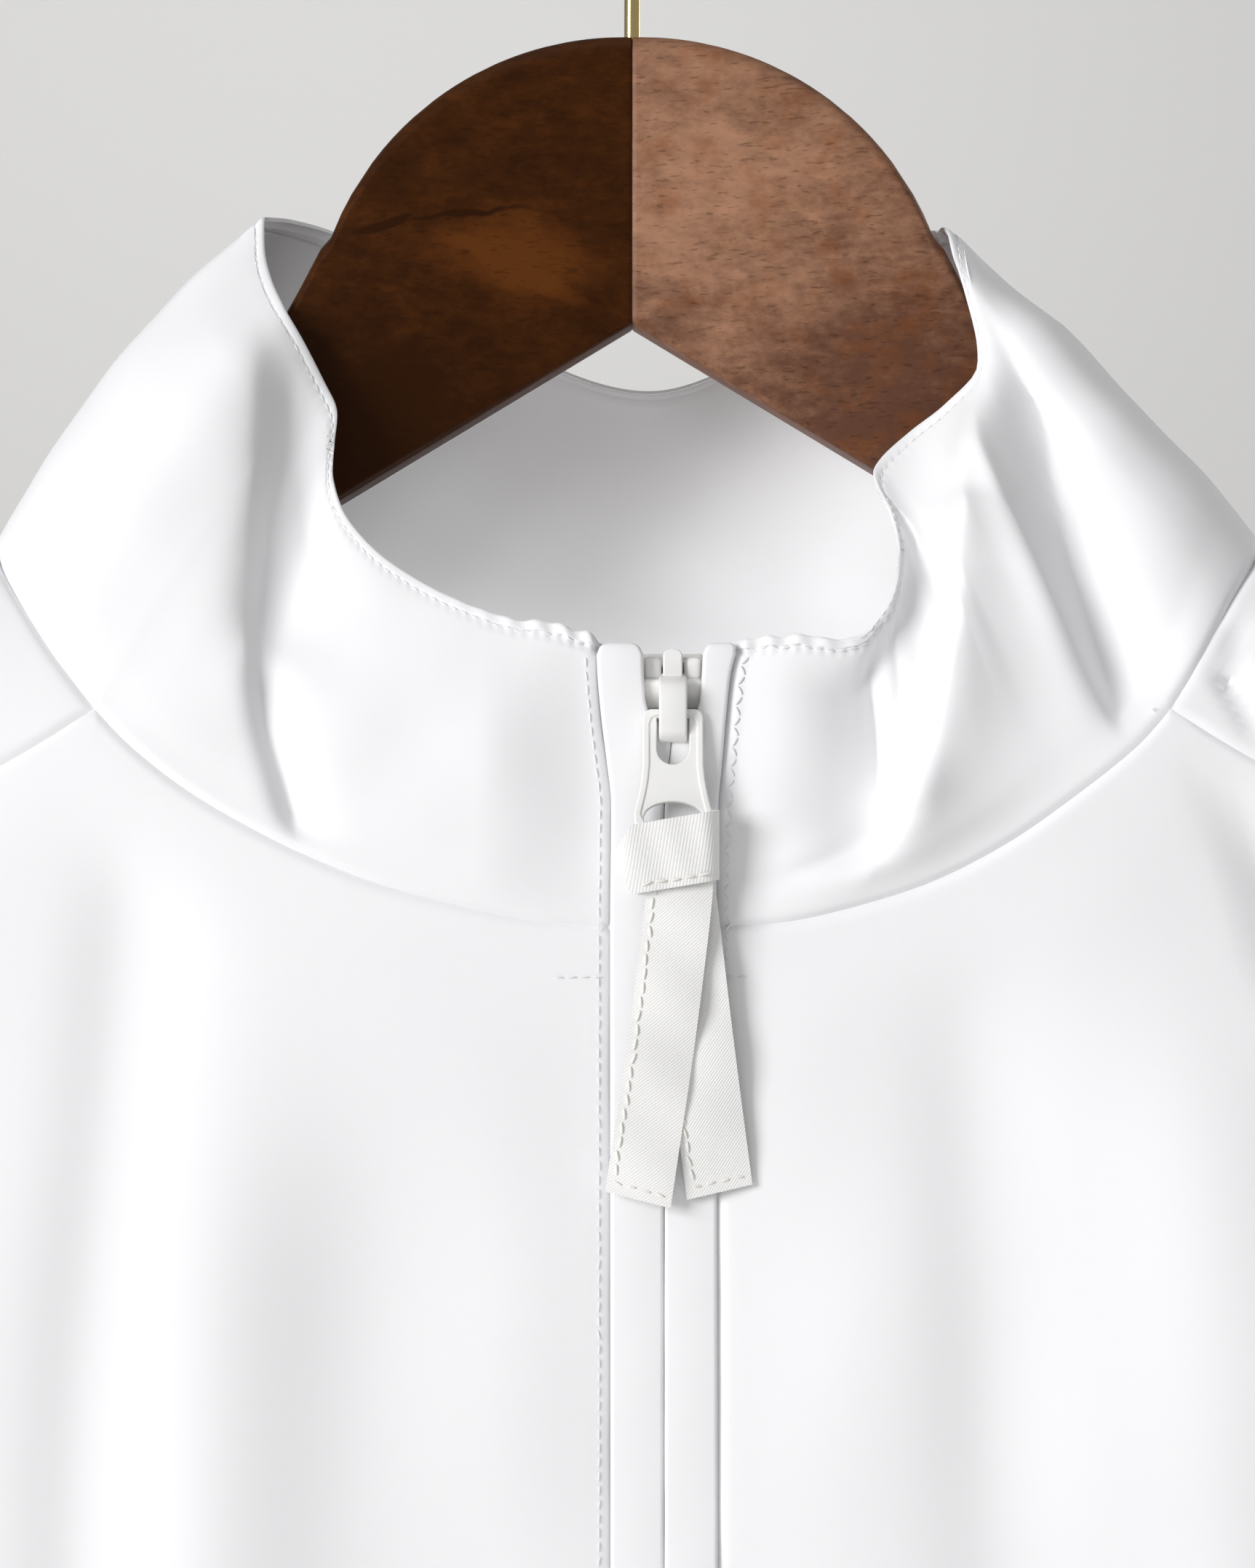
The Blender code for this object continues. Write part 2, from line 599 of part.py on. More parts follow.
def add_fronts(group):
    left, _, right = neck_parts()
    for side, neck, name in ((-1, left, "front_left"), (1, right[::-1], "front_right")):
        shoulder = shoulder_seam(side)
        arm, _ = armhole(side)
        top = np.vstack([neck[:-1], shoulder])
        outer = np.vstack([arm, side_seam(side)[1:]])
        edge_z = neck[0][2] + (HEM_Z - neck[0][2]) * np.linspace(0.0, 1.0, len(outer)) ** 1.15
        edge_x = zip_edge(edge_z, side)
        flat_edge = np.stack([spread_of(edge_x, edge_z), edge_z], axis=1)
        across = toward_end(np.linspace(0.0, 1.0, len(top)))
        hem_spread = flat_edge[-1, 0] + (side - flat_edge[-1, 0]) * across
        flat_hem = np.stack([hem_spread, np.full(len(top), HEM_Z)], axis=1)
        flat_top = np.stack([spread_of(top[:, 0], top[:, 2]), top[:, 2]], axis=1)
        flat_side = np.stack([np.full(len(outer), float(side)), outer[:, 2]], axis=1)
        flat = coons(flat_top, flat_hem, flat_edge, flat_side, across=across)
        grid = body_point(x_of(flat[..., 0], flat[..., 1]), flat[..., 1], True)
        grid[0] = top
        grid[:, -1] = outer
        grid = draw_in(draw_in(grid, 0.5 * SEAM_GAP, ("top",)), 0.5 * SIDE_GAP, ("right",))
        add_cloth(name, grid if side > 0 else grid[:, ::-1], group)


def add_back(group):
    """One piece from the forward shoulder seams over the shoulders and down to the hem."""
    _, neck, _ = neck_parts()
    hem_z = np.full(HEM_CELLS_BACK + 1, HEM_Z)
    hem = body_point(x_of(np.linspace(-1.0, 1.0, HEM_CELLS_BACK + 1), hem_z), hem_z, False)
    down = {side: np.vstack([armhole(side)[1][::-1], side_seam(side)[1:]]) for side in (-1, 1)}
    outer = np.vstack([down[-1], hem[1:-1], down[1][::-1]])
    flat = coons(to_flat(neck), to_flat(outer), to_flat(shoulder_seam(-1)), to_flat(shoulder_seam(1)),
                 down=toward_end(np.linspace(0.0, 1.0, SHOULDER_SEAM_CELLS + 1)))
    grid = from_flat(flat)
    grid[0], grid[-1] = neck, outer
    grid[:, 0], grid[:, -1] = shoulder_seam(-1), shoulder_seam(1)
    hem_columns = slice(len(down[-1]), len(down[-1]) + len(hem) - 2)
    hem_edge = grid[-1, hem_columns].copy()
    grid = draw_in(draw_in(grid, 0.5 * SEAM_GAP, ("top", "left", "right")), 0.5 * SIDE_GAP, ("bottom",))
    grid[-1, hem_columns] = hem_edge
    for corner in (hem_columns.start - 1, hem_columns.stop):
        grid[-1, corner] = outer[corner] + np.array([0.0, 0.5 * SIDE_GAP, 0.0])
    add_cloth("back", grid[:, ::-1], group)


def add_sleeve(side, group):
    """Rings from the armhole to the cuff, each an ellipse between the table's upper and lower edge."""
    front, back = armhole(side)
    loop = np.vstack([front[:-1], back[:-1]])
    middle_z = 0.5 * (SHOULDER_TIP_Z + UNDERARM_Z)
    height = np.clip((loop[:, 2] - middle_z) / (SHOULDER_TIP_Z - middle_z), -1.0, 1.0)
    place = np.arange(len(loop))
    ahead = (place < len(front) - 1) | (place >= len(loop) - len(ARMHOLE_TIP_FRONT))
    around = np.where(ahead, 1.0, -1.0) * np.arccos(height)
    rings = [loop]
    for ux, uy, uz, lx, ly, lz, half_depth in SLEEVE:
        upper, lower = np.array([side * ux, uy, uz]), np.array([side * lx, ly, lz])
        centre, reach = 0.5 * (upper + lower), 0.5 * (upper - lower)
        depth = np.array([0.0, -half_depth, 0.0])
        rings.append(centre + np.cos(around)[:, None] * reach + np.sin(around)[:, None] * depth)
    grid = draw_in(np.array(rings), 0.5 * SEAM_GAP, ("top",))
    name = "sleeve_left" if side < 0 else "sleeve_right"
    add_cloth(name, grid if side < 0 else grid[:, ::-1], group, closed=True)


# The collar

def split_run(points, split):
    """The same run of points with each cell cut into equal parts."""
    spots = np.arange((len(points) - 1) * split + 1) / split
    return np.stack([np.interp(spots, np.arange(len(points)), axis) for axis in np.asarray(points).T], axis=1)


def shares(points):
    """Each point's share of the run's whole length."""
    length = np.concatenate([[0.0], np.cumsum(np.linalg.norm(np.diff(points, axis=0), axis=1))])
    return length / length[-1]


def at_shares(table, wanted):
    """Points of a smooth curve through the table at the wanted shares of its length."""
    fine = along(table, 400)
    return np.stack([np.interp(wanted, np.linspace(0.0, 1.0, 401), axis) for axis in fine.T], axis=1)


def collar_edges():
    """The neck seam and the top edge, paired station by station from the zip's left side to its right."""
    left, rear, right = neck_parts()
    seam = np.vstack([split_run(left, COLLAR_SPLIT), rear[1:-1], split_run(right, COLLAR_SPLIT)])
    first_side = int(np.argmin(seam[:, 0]))
    last_side = int(np.argmax(seam[:, 0]))
    runs = ((COLLAR_TOP_LEFT, 0, first_side), (COLLAR_TOP_BACK, first_side, last_side),
            (COLLAR_TOP_RIGHT, last_side, len(seam) - 1))
    top = []
    for table, start, end in runs:
        top.append(at_shares(table, shares(seam[start:end + 1]))[0 if start == 0 else 1:])
    return seam, np.vstack(top)


def fold_height(x, z, folds):
    """How far the folds push the cloth out at a place in the front view."""
    total = np.zeros(np.shape(x))
    for height, left_width, right_width, points in folds:
        rows = np.array(sorted(points, key=lambda p: p[1]))
        line_x = np.interp(z, rows[:, 1], rows[:, 0])
        away = x - line_x
        width = np.where(away < 0, left_width, right_width)
        span = rows[-1, 1] - rows[0, 1]
        fade = smooth_step(z, rows[0, 1] - 4.0, rows[0, 1] + 0.35 * span)
        total = total + height * np.exp(-(away / width) ** 2) * fade
    return total


def add_collar(group):
    seam, top = collar_edges()
    rise = np.linspace(0.0, 1.0, COLLAR_ROWS + 1)[:, None, None]
    grid = (1.0 - rise) * seam[None] + rise * top[None]
    across = np.gradient(grid, axis=1)
    upward = np.broadcast_to(top - seam, grid.shape)
    outward = np.cross(upward, across)
    outward /= np.linalg.norm(outward, axis=-1, keepdims=True)
    place = np.linspace(0.0, 1.0, grid.shape[1])
    near_zip = smooth_step(np.minimum(place, 1.0 - place), 0.0, 0.08)[None, :]
    share = rise[..., 0]
    swell = COLLAR_BULGE * 4.0 * share * (1.0 - share) * near_zip
    in_front = smooth_step(-grid[..., 1], 2.0, 12.0) * near_zip
    seam_fade = smooth_step(share, 0.0, 0.3)
    folds = fold_height(grid[..., 0], grid[..., 2], COLLAR_FOLDS) * in_front * seam_fade
    grid = grid + (swell + folds)[..., None] * outward
    for column, side in ((0, -1), (-1, 1)):
        grid[:, column, 0] = zip_edge(grid[:, column, 2], side)
    grid = draw_in(grid, 0.5 * SEAM_GAP, ("top",))
    add_cloth("collar", grid, group)


# The zip

def zip_edge(z, side):
    """The x of the panels' edge beside the zip."""
    column = 0 if side < 0 else 3
    return smooth_value(z, ZIP_EDGES)[:, column] + side * SEAM_GAP


def zip_face_y(z):
    """The outer face of the cloth beside the zip."""
    z = np.atleast_1d(np.asarray(z, float))
    seam_z, top_z = NECK_FRONT[0][2], COLLAR_TOP_LEFT[0][2]
    seam_y = body_point(ZIP_MIDDLE, seam_z, True)[..., 1]
    up = np.clip((z - seam_z) / (top_z - seam_z), 0.0, 1.2)
    low = body_point(np.full(z.shape, ZIP_MIDDLE), np.minimum(z, seam_z), True)[:, 1]
    return np.where(z > seam_z, seam_y + (COLLAR_TOP_LEFT[0][1] - seam_y) * up, low)


def add_welt(side, group):
    """A folded lip of cloth from the collar's top edge to the hem."""
    heights = np.concatenate([np.linspace(-198.6, -232.0, 9), [-242.0, -251.5, -266.0, -290.0, -320.0],
                              np.linspace(-370.0, HEM_Z, 8)])
    outer_column, inner_column = (0, 1) if side < 0 else (3, 2)
    rings = []
    for z, face in zip(heights, zip_face_y(heights)):
        row = smooth_value(z, ZIP_EDGES)[0]
        middle, half = 0.5 * (row[outer_column] + row[inner_column]), 0.5 * abs(row[outer_column] - row[inner_column])
        y = face - WELT_PROUD + 0.5 * WELT_THICK
        rings.append([(middle + a, y + b, z) for a, b in rounded_section(half, 0.5 * WELT_THICK, 1.0, 2)])
    return add_loft("welt_left" if side < 0 else "welt_right", rings, "cloth", group)


def slider_spot(down, deep):
    """A point of the tilted slider in the YZ plane, from its front top edge."""
    _, y, z = SLIDER_FRONT_TOP
    sin, cos = math.sin(SLIDER_TILT), math.cos(SLIDER_TILT)
    return y + down * sin + deep * cos, z - down * cos + deep * sin


def zip_tape_route():
    """The tape's middle plane, y and z: it comes out of the slider and then lies behind the panels."""
    half = 0.5 * SLIDER_DEPTH
    high = [slider_spot(-1.0, half), slider_spot(0.5 * SLIDER_LENGTH, half), slider_spot(SLIDER_LENGTH + 0.6, half)]
    bend = [(-41.2, -216.0), (-44.6, -222.0)]
    low_z = np.concatenate([[-231.0, -240.0, -251.5, -275.0, -310.0], np.linspace(-370.0, HEM_Z + 1.0, 7)])
    low = zip_face_y(low_z) + ZIP_TAPE_BEHIND + 0.5 * ZIP_TAPE_THICK
    return np.array(high + bend + list(zip(low, low_z)))


def add_zip_tape(side, group):
    route = zip_tape_route()
    way = np.gradient(route, axis=0)
    way /= np.linalg.norm(way, axis=1, keepdims=True)
    rings = []
    for (y, z), (dy, dz) in zip(route, way):
        near_slider = smooth_step(z, -216.0, -208.0)[()]
        middle = ZIP_MIDDLE + (SLIDER_FRONT_TOP[0] - ZIP_MIDDLE) * smooth_step(z, -232.0, -214.0)[()]
        inner = 0.5 * SEAM_GAP + near_slider * (0.5 * SLIDER_POST[0] + 0.15)
        ny, nz = 0.5 * ZIP_TAPE_THICK * dz, -0.5 * ZIP_TAPE_THICK * dy
        near, far = middle + side * inner, middle + side * ZIP_TAPE_OUTER
        rings.append([(near, y + ny, z + nz), (far, y + ny, z + nz), (far, y - ny, z - nz), (near, y - ny, z - nz)])
    add_loft("zip_tape_left" if side < 0 else "zip_tape_right", rings, "cloth", group)


def add_box(name, size, group, bevel=0.0):
    bpy.ops.mesh.primitive_cube_add(size=1.0)
    item = bpy.context.object
    item.name = name
    for owner in list(item.users_collection):
        owner.objects.unlink(item)
    group.objects.link(item)
    item.data.transform(Matrix.Diagonal((*(Vector(size) * MM), 1.0)))
    if bevel:
        edge = item.modifiers.new("Edges", "BEVEL")
        edge.width = bevel * MM
        edge.segments = 2
    return item


def add_slider(group, cutters):
    """Two plates joined by a post at the mouth; the tapes run between the plates."""
    turn = Matrix.Rotation(SLIDER_TILT, 4, "X")
    boxes = (("zip_slider", (SLIDER_WIDTH, SLIDER_PLATE, SLIDER_LENGTH), 0.5 * SLIDER_PLATE, 0.5 * SLIDER_LENGTH),
             ("slider_back_plate", (SLIDER_WIDTH - 0.6, SLIDER_PLATE, SLIDER_LENGTH - 0.5),
              SLIDER_DEPTH - 0.5 * SLIDER_PLATE, 0.5 * SLIDER_LENGTH),
             ("slider_post", (SLIDER_POST[0], SLIDER_DEPTH - 0.4, 3.4), 0.5 * SLIDER_DEPTH, 2.0))
    made = []
    for name, size, deep, down in boxes:
        item = add_box(name, size, group if not made else cutters, bevel=0.45 if not made else 0.0)
        y, z = slider_spot(down, deep)
        item.matrix_world = Matrix.Translation(Vector((SLIDER_FRONT_TOP[0], y, z)) * MM) @ turn
        made.append(item)
    body = made[0]
    body.data.materials.append(material("zip_slider_finish", "zip"))
    for cutter in made[1:]:
        cutter.hide_render = True
        cutter.display_type = "WIRE"
        join = body.modifiers.new("Join " + cutter.name, "BOOLEAN")
        join.operation = "UNION"
        join.solver = "EXACT"
        join.object = cutter
    return body


def flat_outline(name, outlines, thick, kind, group):
    """A flat piece from closed outlines, the first its edge and the others its holes."""
    curve = bpy.data.curves.new(name, "CURVE")
    curve.dimensions = "2D"
    curve.fill_mode = "BOTH"
    curve.extrude = 0.5 * thick * MM
    for outline in outlines:
        spline = curve.splines.new("POLY")
        spline.points.add(len(outline) - 1)
        spline.use_cyclic_u = True
        for point, (x, y) in zip(spline.points, outline):
            point.co = (x * MM, y * MM, 0.0, 1.0)
    item = bpy.data.objects.new(name, curve)
    group.objects.link(item)
    curve.materials.append(material(name + "_finish", kind))
    return item


def arc(x, y, radius_x, radius_y, start, end, steps):
    angles = np.radians(np.linspace(start, end, steps + 1))
    return [(x + radius_x * math.cos(a), y + radius_y * math.sin(a)) for a in angles]


def add_bail(group):
    """A link in the YZ plane: its eye holds the tab's top bar, and its head meets the slider."""
    outer = [(3.3, 1.0), (3.6, 3.2), (4.3, 5.0), (4.4, 6.3), (3.0, 6.9), (1.0, 6.7), (-1.0, 5.7), (-2.3, 4.0),
             (-2.9, 1.6), (-2.9, -1.2), (-2.3, -3.4), (-0.9, -4.8), (0.8, -4.9), (2.3, -3.7), (3.0, -1.6)]
    eye = arc(0.25, 0.0, 1.7, 1.75, 0, 330, 11)
    item = flat_outline("zip_bail", [outer, eye], BAIL_WIDTH, "zip", group)
    axes = Matrix(((0, 0, 1, 0), (1, 0, 0, 0), (0, 1, 0, 0), (0, 0, 0, 1)))
    item.matrix_world = Matrix.Translation(Vector(TAB_AXIS) * MM) @ axes
    return item


def add_tab(group):
    """A flat pull tab with a window for the bail and a slot for the ribbon."""
    top, foot = TAB_TOP_HALF_WIDTH, TAB_FOOT_HALF_WIDTH
    end = TAB_BAR_HALF - TAB_LENGTH
    right = ([(top - 1.3, TAB_BAR_HALF), (top - 0.4, TAB_BAR_HALF - 0.45), (top, TAB_BAR_HALF - 1.5), (top, -9.6)]
             + [(top + 0.25, -12.4), (top + 0.75, -15.2), (foot, -18.4), (foot, end + 1.6),
                (foot - 0.5, end + 0.45), (foot - 1.6, end)])
    outline = right + [(-x, y) for x, y in reversed(right)]
    window = [(2.9, -TAB_BAR_HALF), (2.9, -6.6)] + arc(0.0, -6.6, 2.9, 2.9, -20, -160, 7)
    window += [(-2.9, -6.6), (-2.9, -TAB_BAR_HALF)]
    slot = arc(0.0, -19.2, 4.9, 2.5, 0, 180, 10) + [(-4.9, -20.2), (4.9, -20.2)]
    item = flat_outline("pull_tab", [outline, window, slot], TAB_THICK, "zip", group)
    item.matrix_world = (Matrix.Translation(Vector(TAB_AXIS) * MM) @ Matrix.Rotation(-TAB_TILT, 4, "X")
                         @ Matrix.Rotation(0.5 * math.pi, 4, "X"))
    return item


# The ribbon

def add_knot(group):
    """The ribbon's wrap: a flattened band, open above and below, round the tab's foot and the tails."""
    width, deep, high = KNOT_SIZE
    section = np.array(rounded_section(0.5 * width, 0.5 * deep, 0.46 * deep, 3))
    roll = Matrix.Rotation(-KNOT_ROLL, 3, "Y")
    rows = []
    for z in np.linspace(0.5 * high, -0.5 * high, 3):
        rows.append([tuple(roll @ Vector((x, y, z)) + Vector(KNOT_CENTRE)) for x, y in section])
    return add_cloth("ribbon_knot", np.array(rows), group, closed=True, kind="ribbon", wall=RIBBON_THICK)


def add_tail(name, route, group):
    """A strip of ribbon down a middle line, turned to stay square to it in the front view."""
    points = along(route, 9)
    way = np.gradient(points, axis=0)
    rings = []
    for place, step in zip(points, way):
        across = np.array([-step[2], 0.0, step[0]])
        across *= 0.5 * RIBBON_WIDTH / np.linalg.norm(across)
        deep = np.array([0.0, 0.5 * RIBBON_THICK, 0.0])
        rings.append([place - across - deep, place + across - deep, place + across + deep, place - across + deep])
    return add_loft(name, rings, "ribbon", group)


def hang_from_axis(items, group):
    """The tab and its ribbon turn about the tab's top bar."""
    pivot = bpy.data.objects.new("tab_pivot", None)
    pivot.location = Vector(TAB_AXIS) * MM
    group.objects.link(pivot)
    bpy.context.view_layer.update()
    for item in items:
        world = item.matrix_world.copy()
        item.parent = pivot
        item.matrix_parent_inverse = pivot.matrix_world.inverted()
        item.matrix_world = world


def build():
    clear_scene()
    group = bpy.data.collections.new("windshirt")
    cutters = bpy.data.collections.new("cutters")
    bpy.context.scene.collection.children.link(group)
    bpy.context.scene.collection.children.link(cutters)
    halves = [add_hanger_half(-1, group), add_hanger_half(1, group)]
    cut_hook_hole(halves, cutters)
    add_hook(group)
    add_fronts(group)
    add_back(group)
    add_collar(group)
    for side in (-1, 1):
        add_sleeve(side, group)
        add_welt(side, group)
        add_zip_tape(side, group)
    add_slider(group, cutters)
    add_bail(group)
    tails = [add_tail("ribbon_tail_front", TAIL_FRONT, group), add_tail("ribbon_tail_rear", TAIL_REAR, group)]
    hang_from_axis([add_tab(group), add_knot(group)] + tails, group)


build()
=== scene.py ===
"""The looks of a white windshirt with a funnel collar, hung on a dark wooden hanger.

Laid out as a Blender add-on and run as a script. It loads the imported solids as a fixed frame, dresses each
of them with a finer piece in the same place, and sets the stage. Lengths in the tables are millimetres, and
MM turns them into metres.
"""
import math

import bmesh
import bpy
import numpy as np
from mathutils import Matrix, Vector


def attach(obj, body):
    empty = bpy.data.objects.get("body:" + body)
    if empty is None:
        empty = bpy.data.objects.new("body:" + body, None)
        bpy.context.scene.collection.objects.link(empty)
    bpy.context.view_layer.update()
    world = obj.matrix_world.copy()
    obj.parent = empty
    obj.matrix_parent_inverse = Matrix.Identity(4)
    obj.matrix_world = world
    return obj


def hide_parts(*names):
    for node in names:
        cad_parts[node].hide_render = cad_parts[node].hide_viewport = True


bl_info = {
    "name": "Windshirt on a hanger",
    "version": (1, 0, 0),
    "blender": (4, 5, 0),
    "location": "3D View > Sidebar > Windshirt",
    "description": "Dresses the windshirt's solids with cloth, sewing, zip, ribbon and wood",
    "category": "Object",
}

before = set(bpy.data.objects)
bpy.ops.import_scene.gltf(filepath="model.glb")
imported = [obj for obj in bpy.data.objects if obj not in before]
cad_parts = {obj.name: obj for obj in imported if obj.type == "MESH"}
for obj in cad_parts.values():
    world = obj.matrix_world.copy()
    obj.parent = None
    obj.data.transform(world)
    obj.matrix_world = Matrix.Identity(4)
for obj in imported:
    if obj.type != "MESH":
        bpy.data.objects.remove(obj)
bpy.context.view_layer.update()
MM = 0.001
SIDES = ((-1, "left"), (1, "right"))

# The body's driving sizes, as the solids have them
BODY_LENGTH = 700.0
HEM_HALF_WIDTH = 276.0
UNDERARM_X = 262.0
UNDERARM_Z = -470.0
SHOULDER_TIP_X = 250.0
SHOULDER_TIP_Z = -238.0
NECK_SIDE_Z = -181.5
HEM_Z = NECK_SIDE_Z - BODY_LENGTH
ARM_RAKE = 0.18            # how far the hanger's arms come forward, per unit of X
ROUND_OVER = 45.0          # height over which the shoulder rounds into front and back
ROUND_RUN = 60.0           # the same stretch measured over the surface
ARMHOLE_HALF_DEPTH = 27.0
ARMHOLE_TIP_Z = -300.0     # above it the rear of the armhole runs over the shoulder
FRONT_DEPTH_TOP = 55.0
FRONT_DEPTH_LOW = 58.0
BACK_DEPTH_TOP = 36.0
BACK_DEPTH_LOW = 42.0
SEAM_GAP = 0.3
CLOTH_WALL = 0.55          # the shell's own thickness

# The shoulder line that rests on the hanger: x, z
SHOULDER_LINE = [
    (0, NECK_SIDE_Z), (118, NECK_SIDE_Z), (150, -193.2), (190, -206.6), (215, -215.5), (235, -226),
    (SHOULDER_TIP_X, SHOULDER_TIP_Z),
]

# The neck seam from the front opening to the shoulder line: x on the left, x on the right, z
NECK_FRONT = [
    (-4.3, 15.2, -251.5), (-16, 28, -250.6), (-31, 41, -247.6), (-47, 54, -243.2), (-63, 67, -236.4),
    (-78, 79, -228), (-89, 89.5, -219.6), (-96, 96, -212.5), (-104, 102.5, -202.5), (-111, 108.5, -192.5),
    (-116, 114, -184.8), (-117.5, 116, NECK_SIDE_Z),
]
SHOULDER_SEAM_AT = 7       # the row of NECK_FRONT where the forward shoulder seam starts
# The neck seam from the shoulder line round the back: x on the left, x on the right, z
NECK_BACK = [
    (-117.5, 116, NECK_SIDE_Z), (-115, 113.5, -184), (-103, 102, -189), (-84, 84, -195), (-60, 60, -200),
    (-31, 31, -203), (0, 0, -204),
]
# The forward shoulder seam from the neck seam to the armhole: x, z
SHOULDER_SEAM = [(96, -212.5), (112, -222.5), (150, -243), (200, -266), (251.5, -288)]

# The collar's top edge, from the zip's left side over the back to its right side: x, y, z
COLLAR_TOP_LEFT = [
    (-6.8, -50, -199.4), (-14, -49.5, -197), (-22, -48.5, -196), (-31, -46.5, -192.8),
    (-38.7, -44, -188.9), (-46.4, -41, -183.5), (-52.5, -36.5, -176.4), (-54.8, -31.5, -170),
    (-54.6, -28, -163.5), (-54.2, -25.5, -157), (-56.5, -24, -151.5), (-61.2, -23.5, -143),
    (-64.4, -21.5, -137.5), (-67.2, -14.5, -132), (-69.2, -6, -126), (-70.1, 2, -118),
]
COLLAR_TOP_BACK = [
    (-70.1, 2, -118), (-65.4, 11, -117.6), (-56.9, 20, -119.4), (-44, 28, -125.5), (-29, 34, -135.5),
    (-13, 37.5, -144.5), (3.5, 38, -148.4), (18, 37, -144.5), (31, 33, -136.5), (43, 26, -127.5),
    (52, 17, -121.5), (57, 9, -120), (58, 2, -121.1),
]
COLLAR_TOP_RIGHT = [
    (58, 2, -121.1), (58.2, -8, -121.3), (58.6, -16.5, -123.2), (59.4, -21.5, -128.5),
    (61.2, -23, -135.5), (63.2, -23.5, -145), (63, -24, -150.8), (57.6, -22, -156), (51.3, -22, -160.6),
    (45.6, -25.5, -166), (44.1, -30, -170), (46.7, -36, -176), (48.6, -42.5, -184.5), (48, -47.5, -190.5),
    (43.6, -52, -197.5), (37.9, -53, -199.9), (29.2, -52, -199.2), (20.2, -50, -200),
]
COLLAR_BULGE = 4.0         # how far the collar swells between its two edges

# Sewing: depth and reach of an edge that rolls into its seam, and the collar's sewn upper edge
EDGE_ROLL = (0.75, 1.9)
ZIP_EDGE_ROLL = (0.7, 2.0)
PANEL_EDGES = ("top", "left", "right")
FRONT_FADE = 26.0          # the fronts' and the back's folds end this far from a seam
BACK_FADE = 24.0
RIPPLE_SIZE = 60.0
GROOVE_WIDTH = 0.55        # the topstitching sinks into a groove, deeper at each stitch
GROOVE_DEPTH = 0.18
PUCKER_DEPTH = 0.22
FRILL_REACH = 17.0         # near the zip the upper edge frills, with this many radians a millimetre
FRILL_TURN = 1.25

# Folds in the front view: height out of the cloth, width to the left and to the right, (x, z) points
COLLAR_FOLDS = [
    (2.6, 15, 4.4, [(-69, -136), (-70, -160), (-70.5, -200), (-68, -214), (-62, -228)]),
    (-4.4, 4.4, 14, [(-61, -146), (-64.5, -168), (-67, -196), (-66, -208)]),
    (-3.8, 2.6, 4.5, [(-67, -206), (-65.5, -216), (-61.5, -228), (-59, -238)]),
    (-8.2, 17, 3.4, [(44, -190), (45, -212), (43, -240)]),
    (-4.4, 2.2, 8, [(48.5, -184), (49, -205), (47.5, -228)]),
    (7, 8, 12, [(62.6, -148), (62.2, -173.6), (60.2, -186)]),
    (6.2, 5, 13, [(61, -178), (58.4, -190), (55.4, -208), (48.5, -232), (41, -245)]),
    (2.8, 4.5, 2, [(62.6, -148), (69.6, -173.4), (73.8, -186.4), (79, -200), (85.2, -217)]),
    (-3, 4, 9, [(61, -126), (65, -139), (70, -150), (74.5, -166)]),
    (-9.8, 4, 13, [(67.5, -146), (71.5, -155), (74.5, -165), (77, -180), (81.4, -195), (85.4, -209),
                   (88, -218)]),
    (-1.6, 5, 6, [(28, -242), (38, -238), (46, -232)]),
]
FRONT_FOLDS = [
    (-2.6, 11, 14, [(60, -246), (62, -300), (66, -380), (70, -520)]),
    (3, 16, 18, [(96, -236), (104, -320), (110, -480), (112, -700)]),
    (-2.2, 9, 12, [(-88, -226), (-90, -262), (-96, -330), (-100, -430)]),
    (-2.4, 20, 22, [(-40, -270), (-46, -330), (-52, -420), (-60, -600)]),
    (2.2, 14, 16, [(-66, -246), (-72, -330), (-80, -500), (-84, -760)]),
    (-4.6, 7, 5, [(108, -221), (114, -237), (122, -266)]),
    (-3, 16, 18, [(140, -262), (150, -360), (158, -560), (160, -800)]),
    (-3.2, 18, 16, [(-142, -262), (-150, -380), (-156, -560), (-160, -820)]),
    (3.4, 16, 14, [(186, -300), (194, -440), (200, -620), (206, -860)]),
    (3, 14, 18, [(-188, -310), (-196, -450), (-204, -640), (-208, -870)]),
]
SHOULDER_FOLDS = [
    (-1.5, 1.2, 3.2, [(108.6, -198), (107.2, -203), (105.6, -208)]),
    (-1.4, 1.4, 3, [(105.8, -207), (107.6, -211.5), (110, -216)]),
    (1.1, 2, 2, [(112.4, -203), (113.4, -210), (116, -219)]),
]
BACK_FOLDS = [
    (4, 12, 18, [(-8, -300), (-16, -420), (-8, -640), (-14, -880)]),
    (-4.4, 9, 18, [(44, -240), (60, -400), (84, -640), (96, -880)]),
    (-3.8, 18, 9, [(-50, -270), (-74, -420), (-98, -600), (-112, -770)]),
    (4.2, 14, 9, [(102, -340), (124, -470), (150, -660), (160, -880)]),
    (3.6, 9, 14, [(-138, -270), (-132, -400), (-118, -580)]),
    (-4.4, 8, 16, [(190, -380), (192, -480), (202, -640), (206, -860)]),
    (-4, 16, 8, [(-198, -470), (-190, -560), (-172, -700), (-166, -880)]),
]

# The sleeve from the armhole to the cuff: upper edge x, y, z, lower edge x, y, z, half depth
SLEEVE = [
    (272, -43, -252, 267.5, -10, -473, 28), (297, -38, -277, 274, -10.5, -476.5, 30),
    (324, -32, -318, 282, -11, -483, 33), (346, -27, -366, 291, -12, -494, 36),
    (362, -23, -420, 298, -13, -514, 37), (374, -21, -480, 302, -14, -548, 37),
    (385, -20, -556, 304, -15, -604, 36), (395, -20, -648, 307, -16, -680, 34),
    (404, -20, -744, 310, -17, -762, 32), (412, -20, -838, 314, -18, -848, 30),
]
